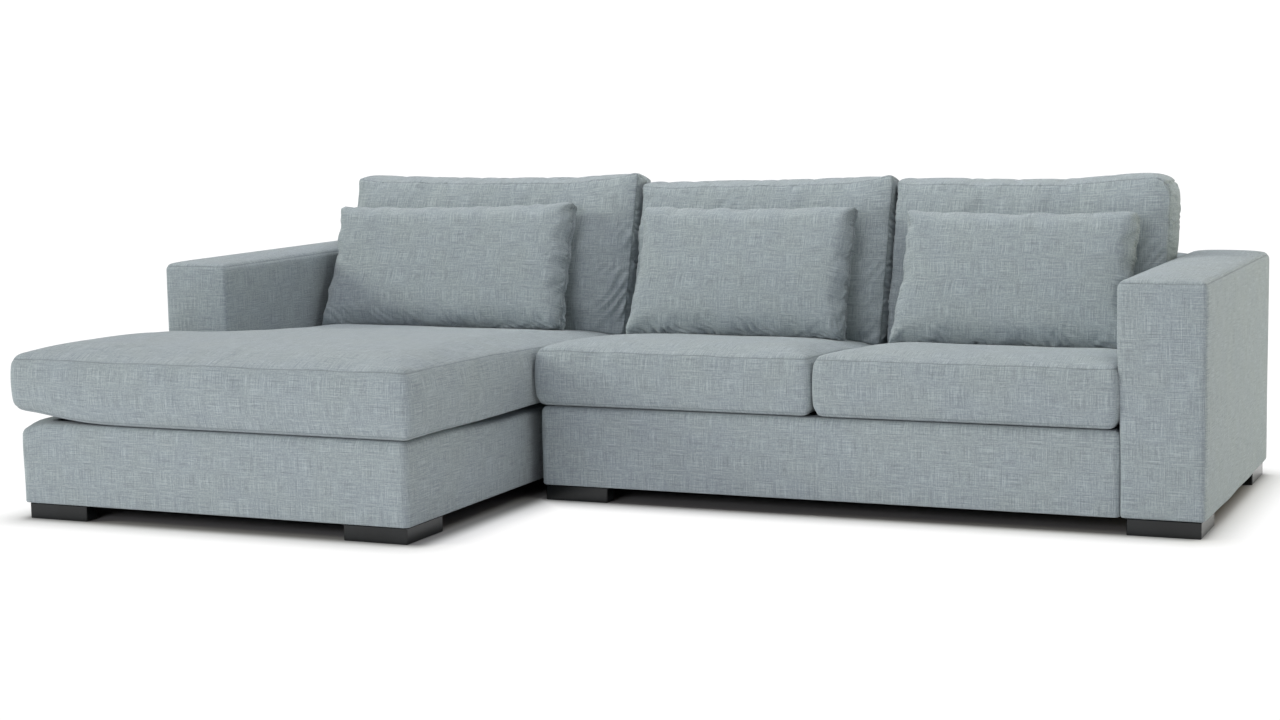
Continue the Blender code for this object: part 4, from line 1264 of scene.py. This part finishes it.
stageSize = dict(
    floor=30.0,
    paper=((0.88, 0.88, 0.88), (0.92, 0.92, 0.92)),
    shades=(((-0.855, 0.01), (0.555, 0.79)), ((0.575, 0.34), (0.845, 0.46))),  # middles and half widths
    fades=(0.0, 0.17),  # from the footprints: where the glow starts and is full
    paintedShadowEnds=(0.0, 0.07),  # where the painted shadow's grey starts to end and is gone
    # The painted shadow's grey, painted on the paper below the sofa
    dark=(0.30, 0.30, 0.30),
    glow=1.05,
)


def floor():
    # White paper with a painted shadow: grey painted below the sofa, where its own shade lies, and glowing
    # away from the two units' footprints. The way from one is the length of (|x - middle| - half, |y -
    # middle| - half), each at least 0.
    shade, size = Shade("floor_finish"), stageSize
    place = shade.node("TexCoord", out=3)
    paper = shade.mix(shade.noise(place, 3.0), *size["paper"])
    reach = size["floor"]
    points = np.array([(-reach, -reach, 0), (reach, -reach, 0), (reach, reach, 0), (-reach, reach, 0)])
    piece = makeMesh("floor", points, np.array([[0, 1, 2, 3]]))
    x, y = shade.parts(place)
    ways = []
    for (middleX, middleY), (halfX, halfY) in size["shades"]:
        offX = ((x - middleX).size() - halfX).math("MAXIMUM", 0.0)
        offY = ((y - middleY).size() - halfY).math("MAXIMUM", 0.0)
        ways.append((offX * offX + offY * offY) ** 0.5)
    nearest = ways[0].math("MINIMUM", ways[1])
    # Painted shadow: the paper's colour turns grey below the sofa, where its shade lies
    colour = shade.mix(nearest.ramp(*size["paintedShadowEnds"]), size["dark"], paper)
    paint = shade.node("BsdfDiffuse", {}, {"Color": colour})
    lit = shade.node("Emission", {}, {"Color": (1, 1, 1, 1), "Strength": size["glow"]})
    both = shade.node("MixShader", {}, {0: nearest.ramp(*size["fades"]), 1: paint, 2: lit})
    piece.data.materials.append(shade.done(both))


def softLight(name, place, target, size, power, colour):
    # A rectangular lamp at the place, facing the target
    lamp = bpy.data.lights.new(name, "AREA")
    lamp.color = colour
    lamp.shape, lamp.size, lamp.size_y, lamp.energy = "RECTANGLE", size[0], size[1], power
    light = bpy.data.objects.new(name, lamp)
    light.location = place
    light.rotation_euler = (Vector(target) - Vector(place)).to_track_quat("-Z", "Y").to_euler()
    bpy.context.scene.collection.objects.link(light)


# The photograph's own view: yaw, pitch and roll in degrees
view = dict(place=(2.3733, -5.5225, 1.0890), yaw=23.643, pitch=-6.861, roll=-1.029, lens=64.325, film=36.0)


def camera():
    # Ahead is (-sin yaw cos pitch, cos yaw cos pitch, sin pitch), and right and up turn by the roll
    yaw, pitch, roll = (math.radians(view[key]) for key in ("yaw", "pitch", "roll"))
    ahead = Vector((-math.sin(yaw) * math.cos(pitch), math.cos(yaw) * math.cos(pitch), math.sin(pitch)))
    right = Vector((math.cos(yaw), math.sin(yaw), 0))
    up = right.cross(ahead)
    turnedRight = right * math.cos(roll) + up * math.sin(roll)
    turnedUp = up * math.cos(roll) - right * math.sin(roll)
    lens = bpy.data.cameras.new("camera")
    lens.lens, lens.sensor_width = view["lens"], view["film"]
    piece = bpy.data.objects.new("camera", lens)
    axes = Matrix((turnedRight, turnedUp, -ahead)).transposed().to_4x4()
    piece.matrix_world = Matrix.Translation(view["place"]) @ axes
    bpy.context.scene.collection.objects.link(piece)
    bpy.context.scene.camera = piece


def studio():
    # A white surround that the camera and mirrors see brighter than it lights
    world = bpy.data.worlds.new("studio")
    world.use_nodes = True
    tree = world.node_tree
    background = tree.nodes["Background"]
    background.inputs["Color"].default_value = lights["surroundColour"]
    path = tree.nodes.new("ShaderNodeLightPath")
    last = None
    for ray, bright in (("Is Glossy Ray", lights["mirrored"]), ("Is Camera Ray", lights["behind"])):
        level = tree.nodes.new("ShaderNodeMapRange")
        level.inputs["To Min"].default_value = lights["surround"]
        level.inputs["To Max"].default_value = bright
        tree.links.new(path.outputs[ray], level.inputs["Value"])
        if last:
            tree.links.new(last.outputs["Result"], level.inputs["To Min"])
        last = level
    tree.links.new(last.outputs["Result"], background.inputs["Strength"])
    bpy.context.scene.world = world
    bpy.context.scene.view_settings.view_transform = "Standard"


# Each lamp: place, target, size, power, colour
lights = dict(
    surround=0.134,
    surroundColour=(1.0, 0.93, 1.10, 1.0),
    mirrored=1.1,
    behind=1.25,
    left=((-9.6, -5.0, 4.4), (0.2, 0, 0.4), (2.8, 2.8), 600, (0.99, 1.01, 0.90)),
    low=((-0.8, -6.2, 2.0), (0.0, 0, 0.3), (3.0, 1.4), 107, (0.98, 0.98, 1.03)),
    over=((-0.6, -0.4, 4.6), (-0.2, 0, 0), (5.0, 3.6), 38, (1.02, 1.0, 0.93)),
    rear=((-0.2, 1.4, 4.4), (0.0, 0.1, 0), (4.5, 2.6), 108, (0.97, 0.99, 1.01)),
    right=((1.9, -0.7, 3.2), (1.5, 0.2, 0.6), (1.2, 1.2), 21, (1.0, 1.02, 0.93)),
    side=((5.2, 2.6, 1.2), (1.46, 0.3, 0.35), (1.2, 2.4), 84, (1.04, 1.03, 0.78)),
)
floor()
for name in ("left", "low", "over", "rear", "right", "side"):
    softLight(name, *lights[name])
studio()
camera()

print("sofa: done")
